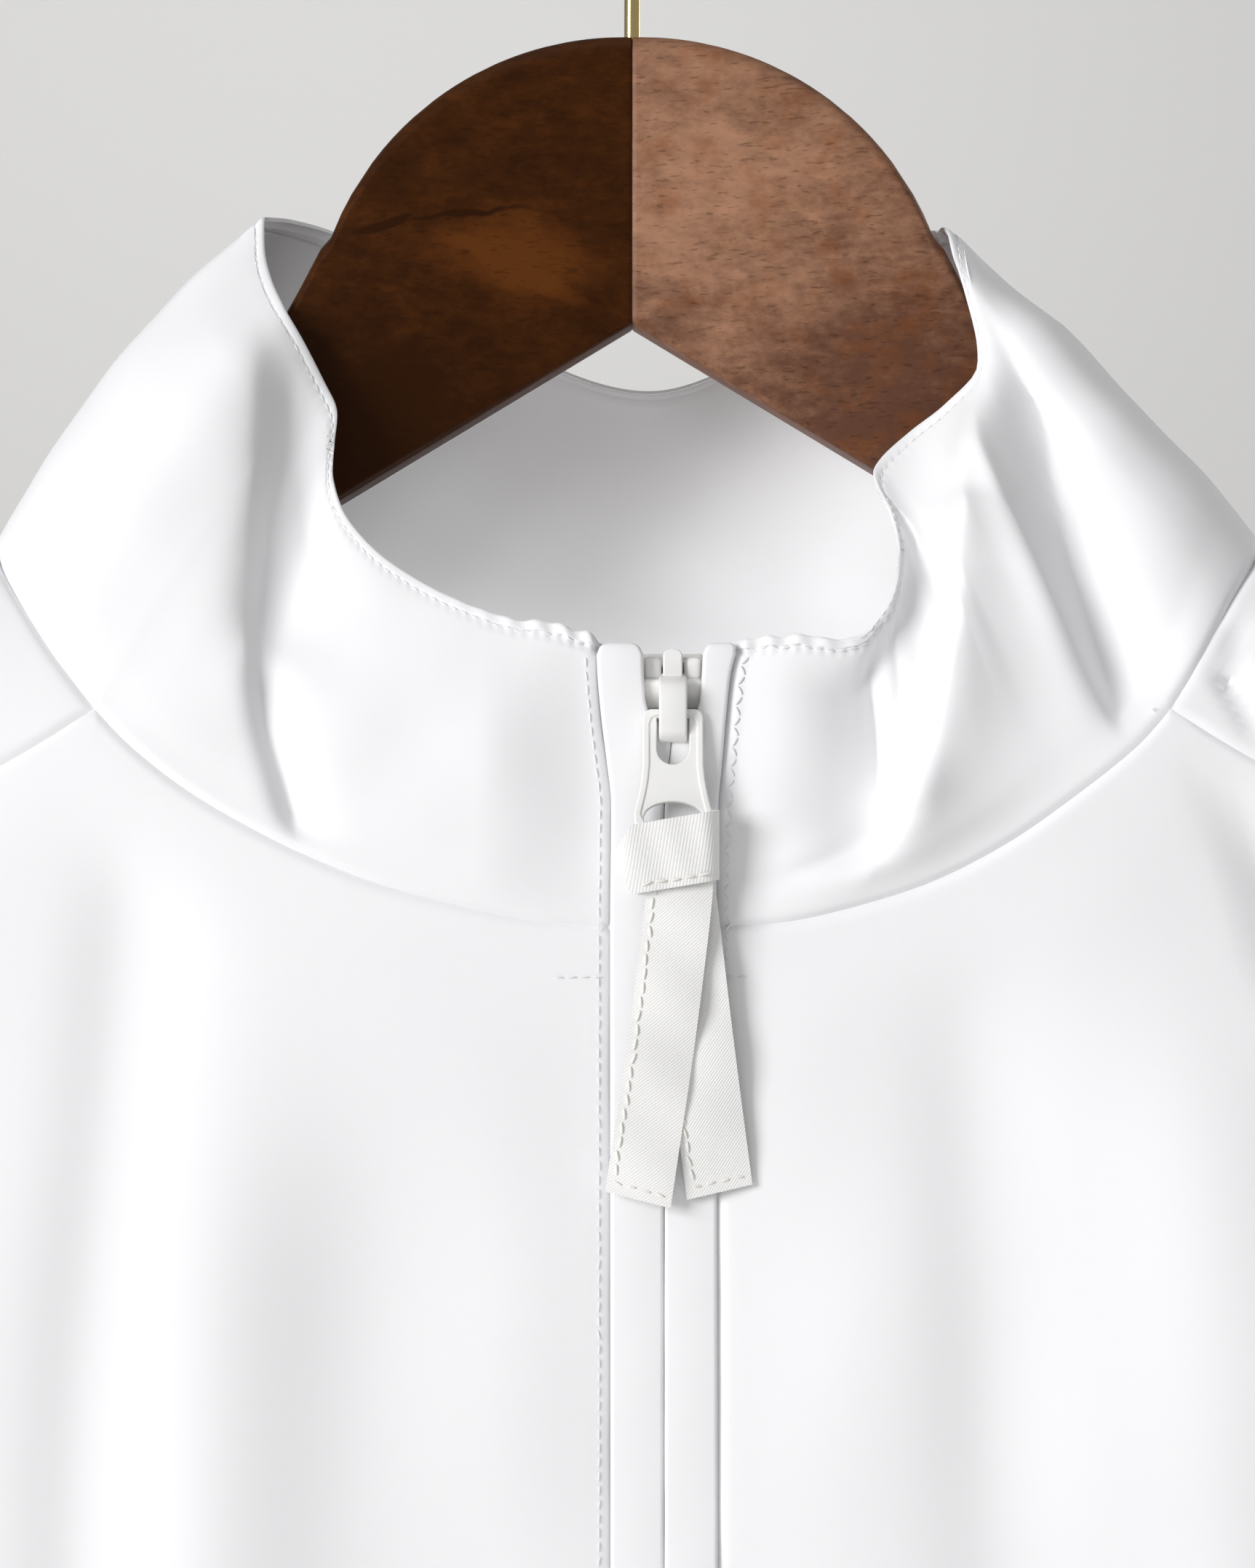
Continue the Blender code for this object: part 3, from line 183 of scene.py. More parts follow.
# Folds of a sleeve: height, place round it in degrees, spread in degrees, middle, reach and slant along it
SLEEVE_FOLDS = [
    (4.6, 60, 17, 150, 90, 0.5), (-5, 112, 14, 190, 80, 0.4), (4, 20, 15, 300, 110, -0.3),
    (-4.6, 78, 13, 380, 120, -0.2), (4.2, 130, 16, 330, 90, 0.4), (-4.6, -60, 14, 170, 110, -0.4),
    (4.6, -105, 17, 260, 120, 0.3), (-4.4, -40, 13, 420, 90, 0.2), (4, 165, 15, 470, 80, -0.3),
    (-4, -80, 12, 500, 70, 0.5),
]

# The zip: z, then the left welt's outer and inner edge and the right welt's inner and outer edge
ZIP_EDGES = [
    (-199, -6.6, 1.9, 12.7, 19.8), (-206, -6.3, 2, 12.4, 17.6), (-214, -5.6, 2.6, 11.7, 16.7),
    (-222, -4.6, 3.9, 8.9, 16), (-230, -3.8, 5, 6.4, 15.3), (-251.5, -4, 5.2, 6, 14.9),
    (-370, -3.9, 5.3, 5.9, 15.1), (HEM_Z, -3.9, 5.3, 5.9, 15.1),
]
WELT_THICK = 2.2
WELT_ROUND = 0.8
WELT_PROUD = 1.0
WELT_TOP_Z = -200.7
WELT_CAP = 2.3             # height over which a welt's top end rounds off
WELT_CLOSES = (-212.0, -218.5)
ZIP_BENDS = (-232.0, -214.0)   # where the zip's middle moves over to the slider's
PLACKET_Z = -260.3         # the short seam beside each welt, and its outer ends
PLACKET_ENDS = (-14.2, 20.6)
THREAD_PROUD = 0.12
ZIP_TAPE_THICK = 0.8
ZIP_TAPE_BEHIND = 1.35
ZIP_TAPE_OUTER = 12.5
ZIP_MIDDLE = 5.6
TOOTH_PITCH = 2.0
TOOTH_SIZE = (2.9, 1.9, 1.1)

# The slider, its bail and the pull tab
SLIDER_WIDTH = 11.6
SLIDER_LENGTH = 8.6
SLIDER_PLATE = 1.4
SLIDER_DEPTH = 6.4
SLIDER_TILT = math.radians(45)
SLIDER_FRONT_TOP = (7.2, -48.9, -206.9)
SLIDER_COVER = (7.2, -48.6, -209.9)
SLIDER_PEAK = (7.2, -48.2, -203.6)
SLIDER_POST = (2.6, 5.4)
BAIL_WIDTH = 5.0
TAB_AXIS = (7.2, -53.6, -213.6)
TAB_BAR_HALF = 0.8
TAB_THICK = 1.6
TAB_TILT = math.radians(17.5)
TAB_LENGTH = 22.6
TAB_TOP_HALF_WIDTH = 5.4
TAB_FOOT_HALF_WIDTH = 6.9

# The ribbon tied through the tab
RIBBON_WIDTH = 11.7
RIBBON_THICK = 0.9
KNOT_SIZE = (18.9, 7, 12.3)
KNOT_CENTRE = (5.9, -60.2, -238.3)
KNOT_RISE = 0.165          # how fast the wrap's edges climb to the right
TAIL_FRONT = [(8.4, -61.9, -240.5), (8, -61.9, -248), (5, -62.1, -272), (0.9, -61.5, -299.4)]
TAIL_REAR = [(8, -60.4, -240.5), (9.2, -60.4, -248), (12, -60.5, -272), (15.4, -60.1, -298.2)]

# The hanger's outline from its middle to its tip: x, upper edge z, lower edge z
HANGER_EDGE = [
    (58, -126, -176.5), (66, -141, -182), (76, -154, -188.5), (90, -167.5, -197), (118, -184.6, -212),
    (150, -196, -225.5), (190, -209.4, -239), (210, -217.2, -245.5), (218, -222.6, -245.5),
    (222, -229, -240),
]
HANGER_NOTCH_Z = -139.5
HANGER_LOW_SLOPE = 0.62
WOOD_THICK = 14.0
WOOD_THICK_TIP = 11.0
HUMP_RADIUS = 60.0
HUMP_TOP_Z = -85.0
HOOK_WIRE = 3.1
HOOK_RADIUS = 22.0
HOOK_SINK = 20.0

# The camera: where the photograph was taken from, and its lens
CAMERA_PLACE = (-0.9, -900.0, -226.0)
CAMERA_LENS = 109.0

# The stage: how far the floor lies below the hem, and the planes' size in metres
FLOOR_BELOW_HEM = 30.0
STAGE_SIZE = 30.0


# Small helpers for curves and tables

def smooth_step(value, low, high):
    t = np.clip((np.asarray(value, float) - low) / (high - low), 0.0, 1.0)
    return t * t * (3.0 - 2.0 * t)


def smooth_value(x, table):
    """A smooth curve through the (x, value, ...) rows that never overshoots between two of them."""
    rows = np.array(sorted(table), float)
    xs, ys = rows[:, 0], rows[:, 1:]
    steps = np.diff(ys, axis=0) / np.diff(xs)[:, None]
    slopes = np.zeros_like(ys)
    same_sign = steps[:-1] * steps[1:] > 0
    total = steps[:-1] + steps[1:]
    slopes[1:-1] = np.where(same_sign, 2 * steps[:-1] * steps[1:] / np.where(same_sign, total, 1.0), 0.0)
    slopes[0], slopes[-1] = steps[0], steps[-1]
    x = np.clip(np.atleast_1d(np.asarray(x, float)), xs[0], xs[-1])
    i = np.clip(np.searchsorted(xs, x) - 1, 0, len(xs) - 2)
    h = (xs[i + 1] - xs[i])[:, None]
    t = (x - xs[i])[:, None] / h
    return ((2 * t**3 - 3 * t**2 + 1) * ys[i] + (t**3 - 2 * t**2 + t) * h * slopes[i]
            + (3 * t**2 - 2 * t**3) * ys[i + 1] + (t**3 - t**2) * h * slopes[i + 1])


def run_of(points):
    """The length travelled at each point of a run."""
    return np.concatenate([[0.0], np.cumsum(np.linalg.norm(np.diff(points, axis=0), axis=1))])


def sampled(points, spots, wanted):
    """A run of points that is known at the given spots, at the wanted ones."""
    return np.stack([np.interp(wanted, spots, axis) for axis in points.T], axis=1)


def spline(points, steps):
    """A smooth curve through all points but the first and the last, in steps from each to the next."""
    t = np.linspace(0.0, 1.0, steps, endpoint=False)[:, None]
    return np.vstack([0.5 * (2 * b + (c - a) * t + (2 * a - 5 * b + 4 * c - d) * t * t
                             + (3 * b - a - 3 * c + d) * t**3)
                      for a, b, c, d in zip(points, points[1:], points[2:], points[3:])])


def along(points, cells, ease=None):
    """Points spaced evenly by length on a smooth curve through the given ones."""
    points = np.array(points, float)
    padded = np.vstack([2 * points[0] - points[1], points, 2 * points[-1] - points[-2]])
    fine = np.vstack([spline(padded, 16), points[-1:]])
    length = run_of(fine)
    wanted = np.linspace(0.0, 1.0, cells + 1)
    if ease is not None:
        wanted = ease(wanted)
    return sampled(fine, length, wanted * length[-1])


# The shape of the body: front and back are one surface, told apart by the sign of its depth

def shoulder_z(x):
    x = np.asarray(x, float)
    return smooth_value(np.abs(x).ravel(), SHOULDER_LINE)[:, 0].reshape(x.shape)


def side_x(z):
    """The half width of the body at a height: the armhole above the underarm, the side seam below."""
    z = np.asarray(z, float)
    arm = SHOULDER_TIP_X + (UNDERARM_X - SHOULDER_TIP_X) * smooth_step(-z, -SHOULDER_TIP_Z, -UNDERARM_Z)
    side = UNDERARM_X + (HEM_HALF_WIDTH - UNDERARM_X) * (UNDERARM_Z - z) / (UNDERARM_Z - HEM_Z)
    return np.where(z > UNDERARM_Z, arm, side)


def armhole_half_depth(z):
    middle = 0.5 * (SHOULDER_TIP_Z + UNDERARM_Z)
    below = np.clip((middle - np.asarray(z, float)) / (middle - UNDERARM_Z), 0.0, 1.0)
    return ARMHOLE_HALF_DEPTH * np.sqrt(1.0 - below**2)


def middle_y(x, drop):
    """The body's middle, which follows the hanger's rake at the shoulders."""
    return -ARM_RAKE * np.abs(x) * (1.0 - 0.8 * smooth_step(drop, 0.0, 260.0))


def body_point(x, z, front):
    """A point of the body's outer face."""
    x, z, front = np.broadcast_arrays(np.asarray(x, float), np.asarray(z, float), np.asarray(front, bool))
    drop = np.maximum(shoulder_z(x) - z, 0.0)
    rounding = np.sqrt(1.0 - (1.0 - np.clip(drop / ROUND_OVER, 0.0, 1.0))**2)
    reach = np.clip(np.abs(x) / side_x(z), 0.0, 1.0)
    edge = armhole_half_depth(z)
    belly = (1.0 - reach**3) ** (1.0 / 3.0)
    low = edge + (np.where(front, FRONT_DEPTH_LOW, BACK_DEPTH_LOW) - edge) * belly
    top = np.where(front, FRONT_DEPTH_TOP - 0.17 * np.abs(x), BACK_DEPTH_TOP - 0.10 * np.abs(x))
    depth = rounding * (top + (low - top) * smooth_step(drop, 15.0, 170.0))
    return np.stack([x, middle_y(x, drop) + np.where(front, -depth, depth), z], axis=-1)


REACHES = 1.0 - np.linspace(1.0, 0.0, 4001) ** 3
SPREADS = 0.5 * REACHES + np.arcsin(REACHES**1.5) / math.pi


def spread_of(x, z):
    """A place across the body as a share of its half width that grows faster where the side rounds."""
    return np.sign(x) * np.interp(np.clip(np.abs(x) / side_x(z), 0.0, 1.0), REACHES, SPREADS)


def x_of(spread, z):
    return np.sign(spread) * np.interp(np.abs(spread), SPREADS, REACHES) * side_x(z)


def to_flat(points):
    """Body points as spread and the distance over the surface from the shoulder line, negative in front."""
    x, y, z = np.moveaxis(np.asarray(points, float), -1, 0)
    drop = np.maximum(shoulder_z(x) - z, 0.0)
    turn = np.arccos(1.0 - np.clip(drop / ROUND_OVER, 0.0, 1.0)) / (0.5 * math.pi)
    run = ROUND_RUN * turn + np.maximum(drop - ROUND_OVER, 0.0)
    return np.stack([spread_of(x, z), np.where(y < middle_y(x, drop) - 1e-6, -run, run)], axis=-1)


def from_flat(flat):
    spread, run = np.moveaxis(np.asarray(flat, float), -1, 0)
    turn = np.clip(np.abs(run) / ROUND_RUN, 0.0, 1.0)
    drop = ROUND_OVER * (1.0 - np.cos(0.5 * math.pi * turn)) + np.maximum(np.abs(run) - ROUND_RUN, 0.0)
    x = np.sign(spread) * np.abs(spread) * SHOULDER_TIP_X
    for _ in range(4):
        x = x_of(spread, shoulder_z(x) - drop)
    return body_point(x, shoulder_z(x) - drop, run < 0)


def neck_run(side):
    """The neck seam on one side: the front from the zip to the shoulder line, then the back."""
    column = 0 if side < 0 else 1
    front = body_point([r[column] for r in NECK_FRONT], [r[2] for r in NECK_FRONT], True)
    back = body_point([r[column] for r in NECK_BACK], [r[2] for r in NECK_BACK], False)
    return front, back


def neck_parts(front_cells, back_cells):
    """The whole seam in three runs: left front, back between the shoulder seams, right front."""
    left_front, left_back = neck_run(-1)
    right_front, right_back = neck_run(1)
    at = SHOULDER_SEAM_AT
    left = along(left_front[:at + 1], front_cells)
    right = along(right_front[:at + 1], front_cells)
    rear = np.vstack([left_front[at:], left_back[1:], right_back[-2:0:-1], right_front[:at - 1:-1]])
    return left, along(rear, back_cells), right[::-1]


def toward_end(share):
    """Shares that lie closer and closer together toward one."""
    return 1.0 - (1.0 - share) ** 1.4


def shoulder_seam(side, cells):
    rows = np.array(SHOULDER_SEAM)
    return along(body_point(rows[:, 0] * side, rows[:, 1], True), cells, toward_end)


def armhole(side, front_cells, back_cells):
    """The armhole's front from the shoulder seam to the underarm, and its back from there to that seam."""
    corner_z = SHOULDER_SEAM[-1][1]
    t = np.sin(np.linspace(0.0, 0.5 * math.pi, 41))
    front_z = corner_z + (UNDERARM_Z - corner_z) * t
    front = body_point(side_x(front_z) * side, front_z, True)
    back_z = (UNDERARM_Z + (ARMHOLE_TIP_Z - UNDERARM_Z) * (1.0 - t[::-1]))[:-1]
    back = body_point(side_x(back_z) * side, back_z, False)
    start_run = to_flat(body_point(side_x(ARMHOLE_TIP_Z) * side, ARMHOLE_TIP_Z, False))[1]
    end_run = to_flat(front[:1])[0, 1]
    runs = np.linspace(start_run, end_run, 40)
    tip = from_flat(np.stack([np.full(40, float(side)), runs], axis=1))
    rear = np.vstack([back, tip])
    rear[-1] = front[0]
    return along(front, front_cells), along(rear, back_cells)


def side_seam(side, cells):
    z = np.linspace(UNDERARM_Z, HEM_Z, cells + 1)
    return body_point(side_x(z) * side, z, True)


def coons(top, bottom, left, right, across=None, down=None):
    """A grid of points filled in from its four edges; top and bottom run left to right, the others down."""
    s = np.linspace(0.0, 1.0, len(top)) if across is None else across
    t = np.linspace(0.0, 1.0, len(left)) if down is None else down
    s, t = s[None, :, None], t[:, None, None]
    ruled = (1 - t) * top[None] + t * bottom[None] + (1 - s) * left[:, None] + s * right[:, None]
    corners = ((1 - s) * (1 - t) * top[0] + s * (1 - t) * top[-1]
               + (1 - s) * t * bottom[0] + s * t * bottom[-1])
    return ruled - corners


# Shaping a grid of points into sewn cloth

FORWARD = (0.0, -1.0, 0.0)
BACKWARD = (0.0, 1.0, 0.0)
EDGE_STEPS = (0.35, 0.8, 1.4, 2.2)     # extra rows beside a sewn edge, in mm from it


def grid_normals(grid, closed=False):
    if closed:
        around = np.concatenate([grid[:, -1:], grid, grid[:, :1]], axis=1)
        across = np.gradient(around, axis=1)[:, 1:-1]
    else:
        across = np.gradient(grid, axis=1)
    normal = np.cross(np.gradient(grid, axis=0), across)
    return normal / np.maximum(np.linalg.norm(normal, axis=-1, keepdims=True), 1e-9)


def outward_normals(grid, facing=None, closed=False):
    """The cloth's outward directions; facing is roughly where the middle of an open grid looks."""
    normal = grid_normals(grid, closed)
    row, column = len(grid) // 2, grid.shape[1] // 2
    if facing is None:
        facing = grid[row, column] - grid[row].mean(axis=0)
    return normal if normal[row, column] @ np.asarray(facing) > 0 else -normal


def turned(grid, side, back=False):
    """The grid turned so that the named edge is its first row, or turned back from there."""
    flip = side in ("left", "right")
    if flip and not back:
        grid = np.swapaxes(grid, 0, 1)
    if side in ("bottom", "right"):
        grid = grid[::-1]
    return np.swapaxes(grid, 0, 1) if flip and back else grid


def add_edge_rows(grid, side, steps=EDGE_STEPS):
    """More rows close to an edge, where the cloth rolls into its seam."""
    rows = turned(grid, side)
    way = rows[2] - rows[0]
    length = np.linalg.norm(way, axis=-1, keepdims=True)
    extra = [rows[0] + way * np.minimum(step / length, 0.18 * (i + 1)) for i, step in enumerate(steps)]
    return turned(np.concatenate([rows[:1], np.array(extra), rows[2:]], axis=0), side, True)


def edge_distance(grid, side):
    """How far each point lies from an edge, along its own grid line."""
    steps = np.linalg.norm(np.diff(turned(grid, side), axis=0), axis=-1)
    away = np.concatenate([np.zeros((1,) + steps.shape[1:]), np.cumsum(steps, axis=0)], axis=0)
    return turned(away, side, True)


def edge_fade(grid, sides, reach):
    """One inside a panel and nothing at its named edges."""
    keep = np.ones(grid.shape[:2])
    for side in sides:
        keep = keep * smooth_step(edge_distance(grid, side), 0.0, reach)
    return keep


def roll_edges(grid, sides, outward, depth, reach):
    """Sink the named edges of a panel into their seams."""
    sunk = np.zeros(grid.shape[:2])
    for side in sides:
        sunk = np.maximum(sunk, depth * np.clip(1.0 - edge_distance(grid, side) / reach, 0.0, 1.0) ** 2)
    return grid - sunk[..., None] * outward


def add_allowance(grid, side, facing, closed=False, beyond=2.2, under=0.45):
    """One more row past a sewn edge, turned in under its neighbour, so that no light passes the seam."""
    rows, out = turned(grid, side), turned(outward_normals(grid, facing, closed), side)
    way = rows[0] - rows[3]
    way = way / np.linalg.norm(way, axis=-1, keepdims=True)
    extra = rows[0] + beyond * way - under * out[0]
    return turned(np.concatenate([extra[None], rows]), side, True)


def sewn(grid, sides, rolls, facing=None, closed=False):
    """A panel with its named edges refined, rolled into their seams (sides, depth, reach) and turned in."""
    for side in sides:
        grid = add_edge_rows(grid, side)
    normal = outward_normals(grid, facing, closed)
    for rolled, depth, reach in rolls:
        grid = roll_edges(grid, rolled, normal, depth, reach)
    for side in sides:
        grid = add_allowance(grid, side, facing, closed)
    return grid


def fold_height(x, z, folds, power=2.0):
    """How far the folds push the cloth out in the front view; a lower power gives a crisper crease."""
    total = np.zeros(np.shape(x))
    for height, left_width, right_width, points in folds:
        rows = np.array(sorted(points, key=lambda p: p[1]))
        away = x - smooth_value(z.ravel(), rows[:, ::-1].tolist()).reshape(z.shape)
        width = np.where(away < 0, left_width, right_width)
        span = rows[-1, 1] - rows[0, 1]
        fade = smooth_step(z, rows[0, 1] - 4.0, rows[0, 1] + 0.22 * span)
        fade = fade * (1.0 - smooth_step(z, rows[-1, 1] - 0.16 * span, rows[-1, 1] + 4.0))
        total = total + height * np.exp(-np.abs(away / width) ** power) * fade
    return total


def ripples(u, v, seed, size, count=14):
    """Soft uneven unrest of a cloth: a sum of slow waves with seeded directions."""
    pick = np.random.default_rng(seed)
    total = np.zeros(np.shape(u))
    for _ in range(count):
        angle = pick.uniform(0.0, math.pi)
        length = size * pick.uniform(0.7, 2.2)
        phase = pick.uniform(0.0, 2 * math.pi)
        total = total + np.sin(2 * math.pi * (u * math.cos(angle) + v * math.sin(angle)) / length + phase)
    return total / math.sqrt(count)


# Meshes and objects

def only(*items):
    """Select these objects alone and make the first the active one."""
    bpy.ops.object.select_all(action="DESELECT")
    for item in items:
        item.select_set(True)
    bpy.context.view_layer.objects.active = items[0]


def finish_modifier(item, kind, **settings):
    """Add a modifier and apply it."""
    step = item.modifiers.new(kind.title(), kind)
    for key, value in settings.items():
        setattr(step, key, value)
    only(item)
    bpy.ops.object.modifier_apply(modifier=step.name)


def settle(item):
    """Put the object's place into its mesh, so that it sits at the origin."""
    if item.type != "MESH":
        only(item)
        bpy.ops.object.convert(target="MESH")
    item.data.transform(item.matrix_world)
    item.matrix_world = Matrix.Identity(4)
    return item


def smooth(item, angle=35.0):
    only(item)
    bpy.ops.object.shade_smooth_by_angle(angle=math.radians(angle))


def join(items, name):
    only(*items)
    bpy.ops.object.join()
    items[0].name = name
    return items[0]


def place(item, body, finish, nodes=()):
    """Give a finished piece its material and body, and hide the solids it stands for."""
    item.data.materials.clear()
    item.data.materials.append(finish)
    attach(item, body)
    if nodes:
        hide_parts(*nodes)


def linked(name, data):
    """A new object of the scene."""
    item = bpy.data.objects.new(name, data)
    bpy.context.scene.collection.objects.link(item)
    return item


def copies(name, seed, axes, shifts):
    """One piece made of copies of a seed object, each with its own three axes and its own shifts."""
    verts = np.array([v.co[:] for v in seed.data.vertices])
    faces = [tuple(p.vertices) for p in seed.data.polygons]
    bpy.data.objects.remove(seed, do_unlink=True)
    placed = np.vstack([sum(moves, verts @ basis) for basis, moves in zip(axes, shifts)])
    mesh = bpy.data.meshes.new(name)
    mesh.from_pydata((placed * MM).tolist(), [], [tuple(v + i * len(verts) for v in face)
                                                  for i in range(len(axes)) for face in faces])
    return linked(name, mesh)


def grid_object(name, grid, closed=False):
    """A mesh of quads over rows of points, with a UV map that holds lengths over the cloth in metres."""
    rows, columns = grid.shape[:2]
    wrap = columns if closed else columns - 1
    r, c = np.meshgrid(np.arange(rows - 1), np.arange(wrap), indexing="ij")
    d = (c + 1) % columns
    here, below = r * columns, (r + 1) * columns
    faces = np.stack([here + c, below + c, below + d, here + d], axis=-1)
    mesh = bpy.data.meshes.new(name)
    mesh.from_pydata((grid.reshape(-1, 3) * MM).tolist(), [], faces.reshape(-1, 4).tolist())
    u = run_of(grid[rows // 2]) * MM
    v = run_of(grid[:, columns // 2]) * MM
    uv = mesh.uv_layers.new(name="UVMap")
    corner = np.stack([np.stack([c, r], -1), np.stack([c, r + 1], -1),
                       np.stack([c + 1, r + 1], -1), np.stack([c + 1, r], -1)], axis=2).reshape(-1, 2)
    u = np.append(u, u[-1] + (u[-1] - u[-2]))
    uv.data.foreach_set("uv", np.stack([u[corner[:, 0]], v[corner[:, 1]]], axis=1).ravel())
    return linked(name, mesh)


def cloth_object(name, grid, facing=None, closed=False, wall=CLOTH_WALL):
    """A shell whose outer face is the grid."""
    row, column = len(grid) // 2, grid.shape[1] // 2
    if grid_normals(grid, closed)[row, column] @ outward_normals(grid, facing, closed)[row, column] < 0:
        grid = grid[:, ::-1]
    item = grid_object(name, grid, closed)
    finish_modifier(item, "SOLIDIFY", thickness=wall * MM, offset=-1.0)
    smooth(item, 50.0)
    return item


def stitches(name, path, out, length=1.7, gap=0.6, radius=0.17, lean=0.0, unrest=0.05):
    """Short threads laid one after another on a path; out is the cloth's outward direction at each point.

    lean turns every second one the other way, and unrest shifts and turns each a little.
    """
    pick = np.random.default_rng(len(path))
    total = run_of(path)
    count = max(int(total[-1] / (length + gap)), 1)
    starts = (np.arange(count) + 0.5) * total[-1] / count
    centres = sampled(path, total, starts)
    ways = sampled(path, total, starts + 0.3) - sampled(path, total, starts - 0.3)
    ups = sampled(np.broadcast_to(out, path.shape), total, starts)
    bpy.ops.mesh.primitive_uv_sphere_add(segments=6, ring_count=5, radius=1.0)
    axes, shifts = [], []
    for i, centre in enumerate(centres):
        way = Vector(ways[i]).normalized()
        normal = Vector(ups[i]).normalized()
        side = way.cross(normal).normalized()
        turn = Matrix.Rotation(lean * (1 if i % 2 else -1) + pick.normal(0.0, unrest), 3, normal)
        way, side = turn @ way, turn @ side
        aside = np.array(side) * pick.normal(0.0, 0.5 * unrest)
        axes.append(np.array([side * radius, normal * radius * 0.8, way * 0.5 * length]))
        shifts.append((centre + aside, np.array(normal) * radius * 0.35))
    item = copies(name, bpy.context.object, axes, shifts)
    smooth(item, 80.0)
    return item


# Materials: arithmetic on a Value adds Math nodes

class Value:
    """A number or colour that varies over a surface."""

    def __init__(self, finish, socket):
        self.finish = finish
        self.socket = socket

    def maths(self, operation, first, second):
        return self.finish.node("ShaderNodeMath", {0: first, 1: second}, operation=operation)

    def __add__(self, other):
        return self.maths("ADD", self, other)

    def __sub__(self, other):
        return self.maths("SUBTRACT", self, other)

    def __mul__(self, other):
        return self.maths("MULTIPLY", self, other)

    __radd__ = __add__
    __rmul__ = __mul__

    def step(self, low, high):
        return self.finish.node("ShaderNodeMapRange", {0: self, 1: low, 2: high},
                                interpolation_type="SMOOTHSTEP")


class Finish:
    """One material, with its Principled shader."""

    def __init__(self, name, **fixed):
        self.material = bpy.data.materials.new(name)
        self.material.use_nodes = True
        self.tree = self.material.node_tree
        self.shader = self.tree.nodes["Principled BSDF"]
        for key, value in fixed.items():
            self.shader.inputs[key.replace("_", " ")].default_value = value

    def node(self, kind, inputs=None, output=0, **settings):
        made = self.tree.nodes.new(kind)
        for key, value in settings.items():
            setattr(made, key, value)
        for key, value in (inputs or {}).items():
            self.feed(made.inputs[key], value)
        return Value(self, made.outputs[output])

    def feed(self, socket, value):
        if isinstance(value, Value):
            self.tree.links.new(value.socket, socket)
        else:
            socket.default_value = value

    def place(self, source="Object", scale=(1.0, 1.0, 1.0), rotation=(0.0, 0.0, 0.0)):
        coordinates = self.node("ShaderNodeTexCoord", output=3 if source == "Object" else 2)
        return self.node("ShaderNodeMapping", {0: coordinates, "Rotation": rotation, "Scale": scale})

    def noise(self, where, scale, detail=3.0, roughness=0.5, distortion=0.0):
        return self.node("ShaderNodeTexNoise", {"Vector": where, "Scale": scale, "Detail": detail,
                                                "Roughness": roughness, "Distortion": distortion})

    def mix(self, factor, first, second, blend="MIX"):
        return self.node("ShaderNodeMix", {0: factor, 6: first, 7: second}, output=2, data_type="RGBA",
                         blend_type=blend)

    def wave(self, where, scale, direction, distortion=0.5):
        return self.node("ShaderNodeTexWave", {"Vector": where, "Scale": scale, "Distortion": distortion},
                         bands_direction=direction)

    def tones(self, factor, colour, low, high=1.0):
        """A colour that varies between two of its own brightnesses."""
        return self.mix(factor, rgb(colour, low), rgb(colour, high))

    def warp(self, where, amount, scale):
        """The same places, pushed about by up to amount, in metres."""
        push = self.node("ShaderNodeTexNoise", {"Vector": where, "Scale": scale}, output=1)
        return self.mix(amount, where, push, blend="LINEAR_LIGHT")

    def spot(self, where, x, z, half_long, half_short, lean=0.0):
        """A soft spot in the front view: one at its middle, nothing at its edge. Its right end leans up."""
        angle = math.radians(lean)
        middle = Matrix.Rotation(angle, 3, "Y") @ Vector((x, 0.0, z)) * MM
        centred = self.node("ShaderNodeMapping",
                            {0: where, "Rotation": (0.0, angle, 0.0), "Location": -middle})
        sized = self.node("ShaderNodeMapping",
                          {0: centred, "Scale": (1 / (half_long * MM), 0.0, 1 / (half_short * MM))})
        return self.node("ShaderNodeTexGradient", {"Vector": sized}, output=1, gradient_type="SPHERICAL")

    def bump(self, height, distance, strength=1.0, before=None):
        inputs = {"Height": height, "Distance": distance, "Strength": strength}
        if before is not None:
            inputs["Normal"] = before
        return self.node("ShaderNodeBump", inputs)

    def wear(self, **links):
        """Link what varies over the surface to the shader."""
        for key, value in links.items():
            self.feed(self.shader.inputs[key.replace("_", " ")], value)
        return self.material


def rgb(colour, gain=1.0):
    return (*(c * gain for c in colour[:3]), 1.0)


def cloth_finish(name, look):
    """Close-woven microfibre: a soft sheen, a hair-fine weave and slow unrest."""
    finish = Finish(name, Roughness=look.roughness, Sheen_Weight=0.12, Sheen_Roughness=0.4, IOR=1.4,
                    Specular_IOR_Level=0.25)
    where = finish.place()
    slow = finish.noise(where, 14.0, 2.0)
    bumped = finish.bump(finish.noise(where, 55.0, 4.0, 0.55), 0.0006, look.crinkle)
    bumped = finish.bump(finish.noise(where, 2600.0, 2.0), 0.00004, 0.25, bumped)
    return finish.wear(Base_Color=finish.tones(slow.step(0.3, 0.7), look.colour, 0.985), Normal=bumped)


def thread_finish(look):
    """Twisted sewing thread."""
    finish = Finish("sewing_thread", Roughness=0.65)
    strands = finish.noise(finish.place(), 5000.0, 2.0)
    # Painted shade: the twist's low places are coloured darker.
    return finish.wear(Base_Color=finish.tones(strands, look.thread_colour, 0.94),
                       Normal=finish.bump(strands, 0.00005, 0.4))


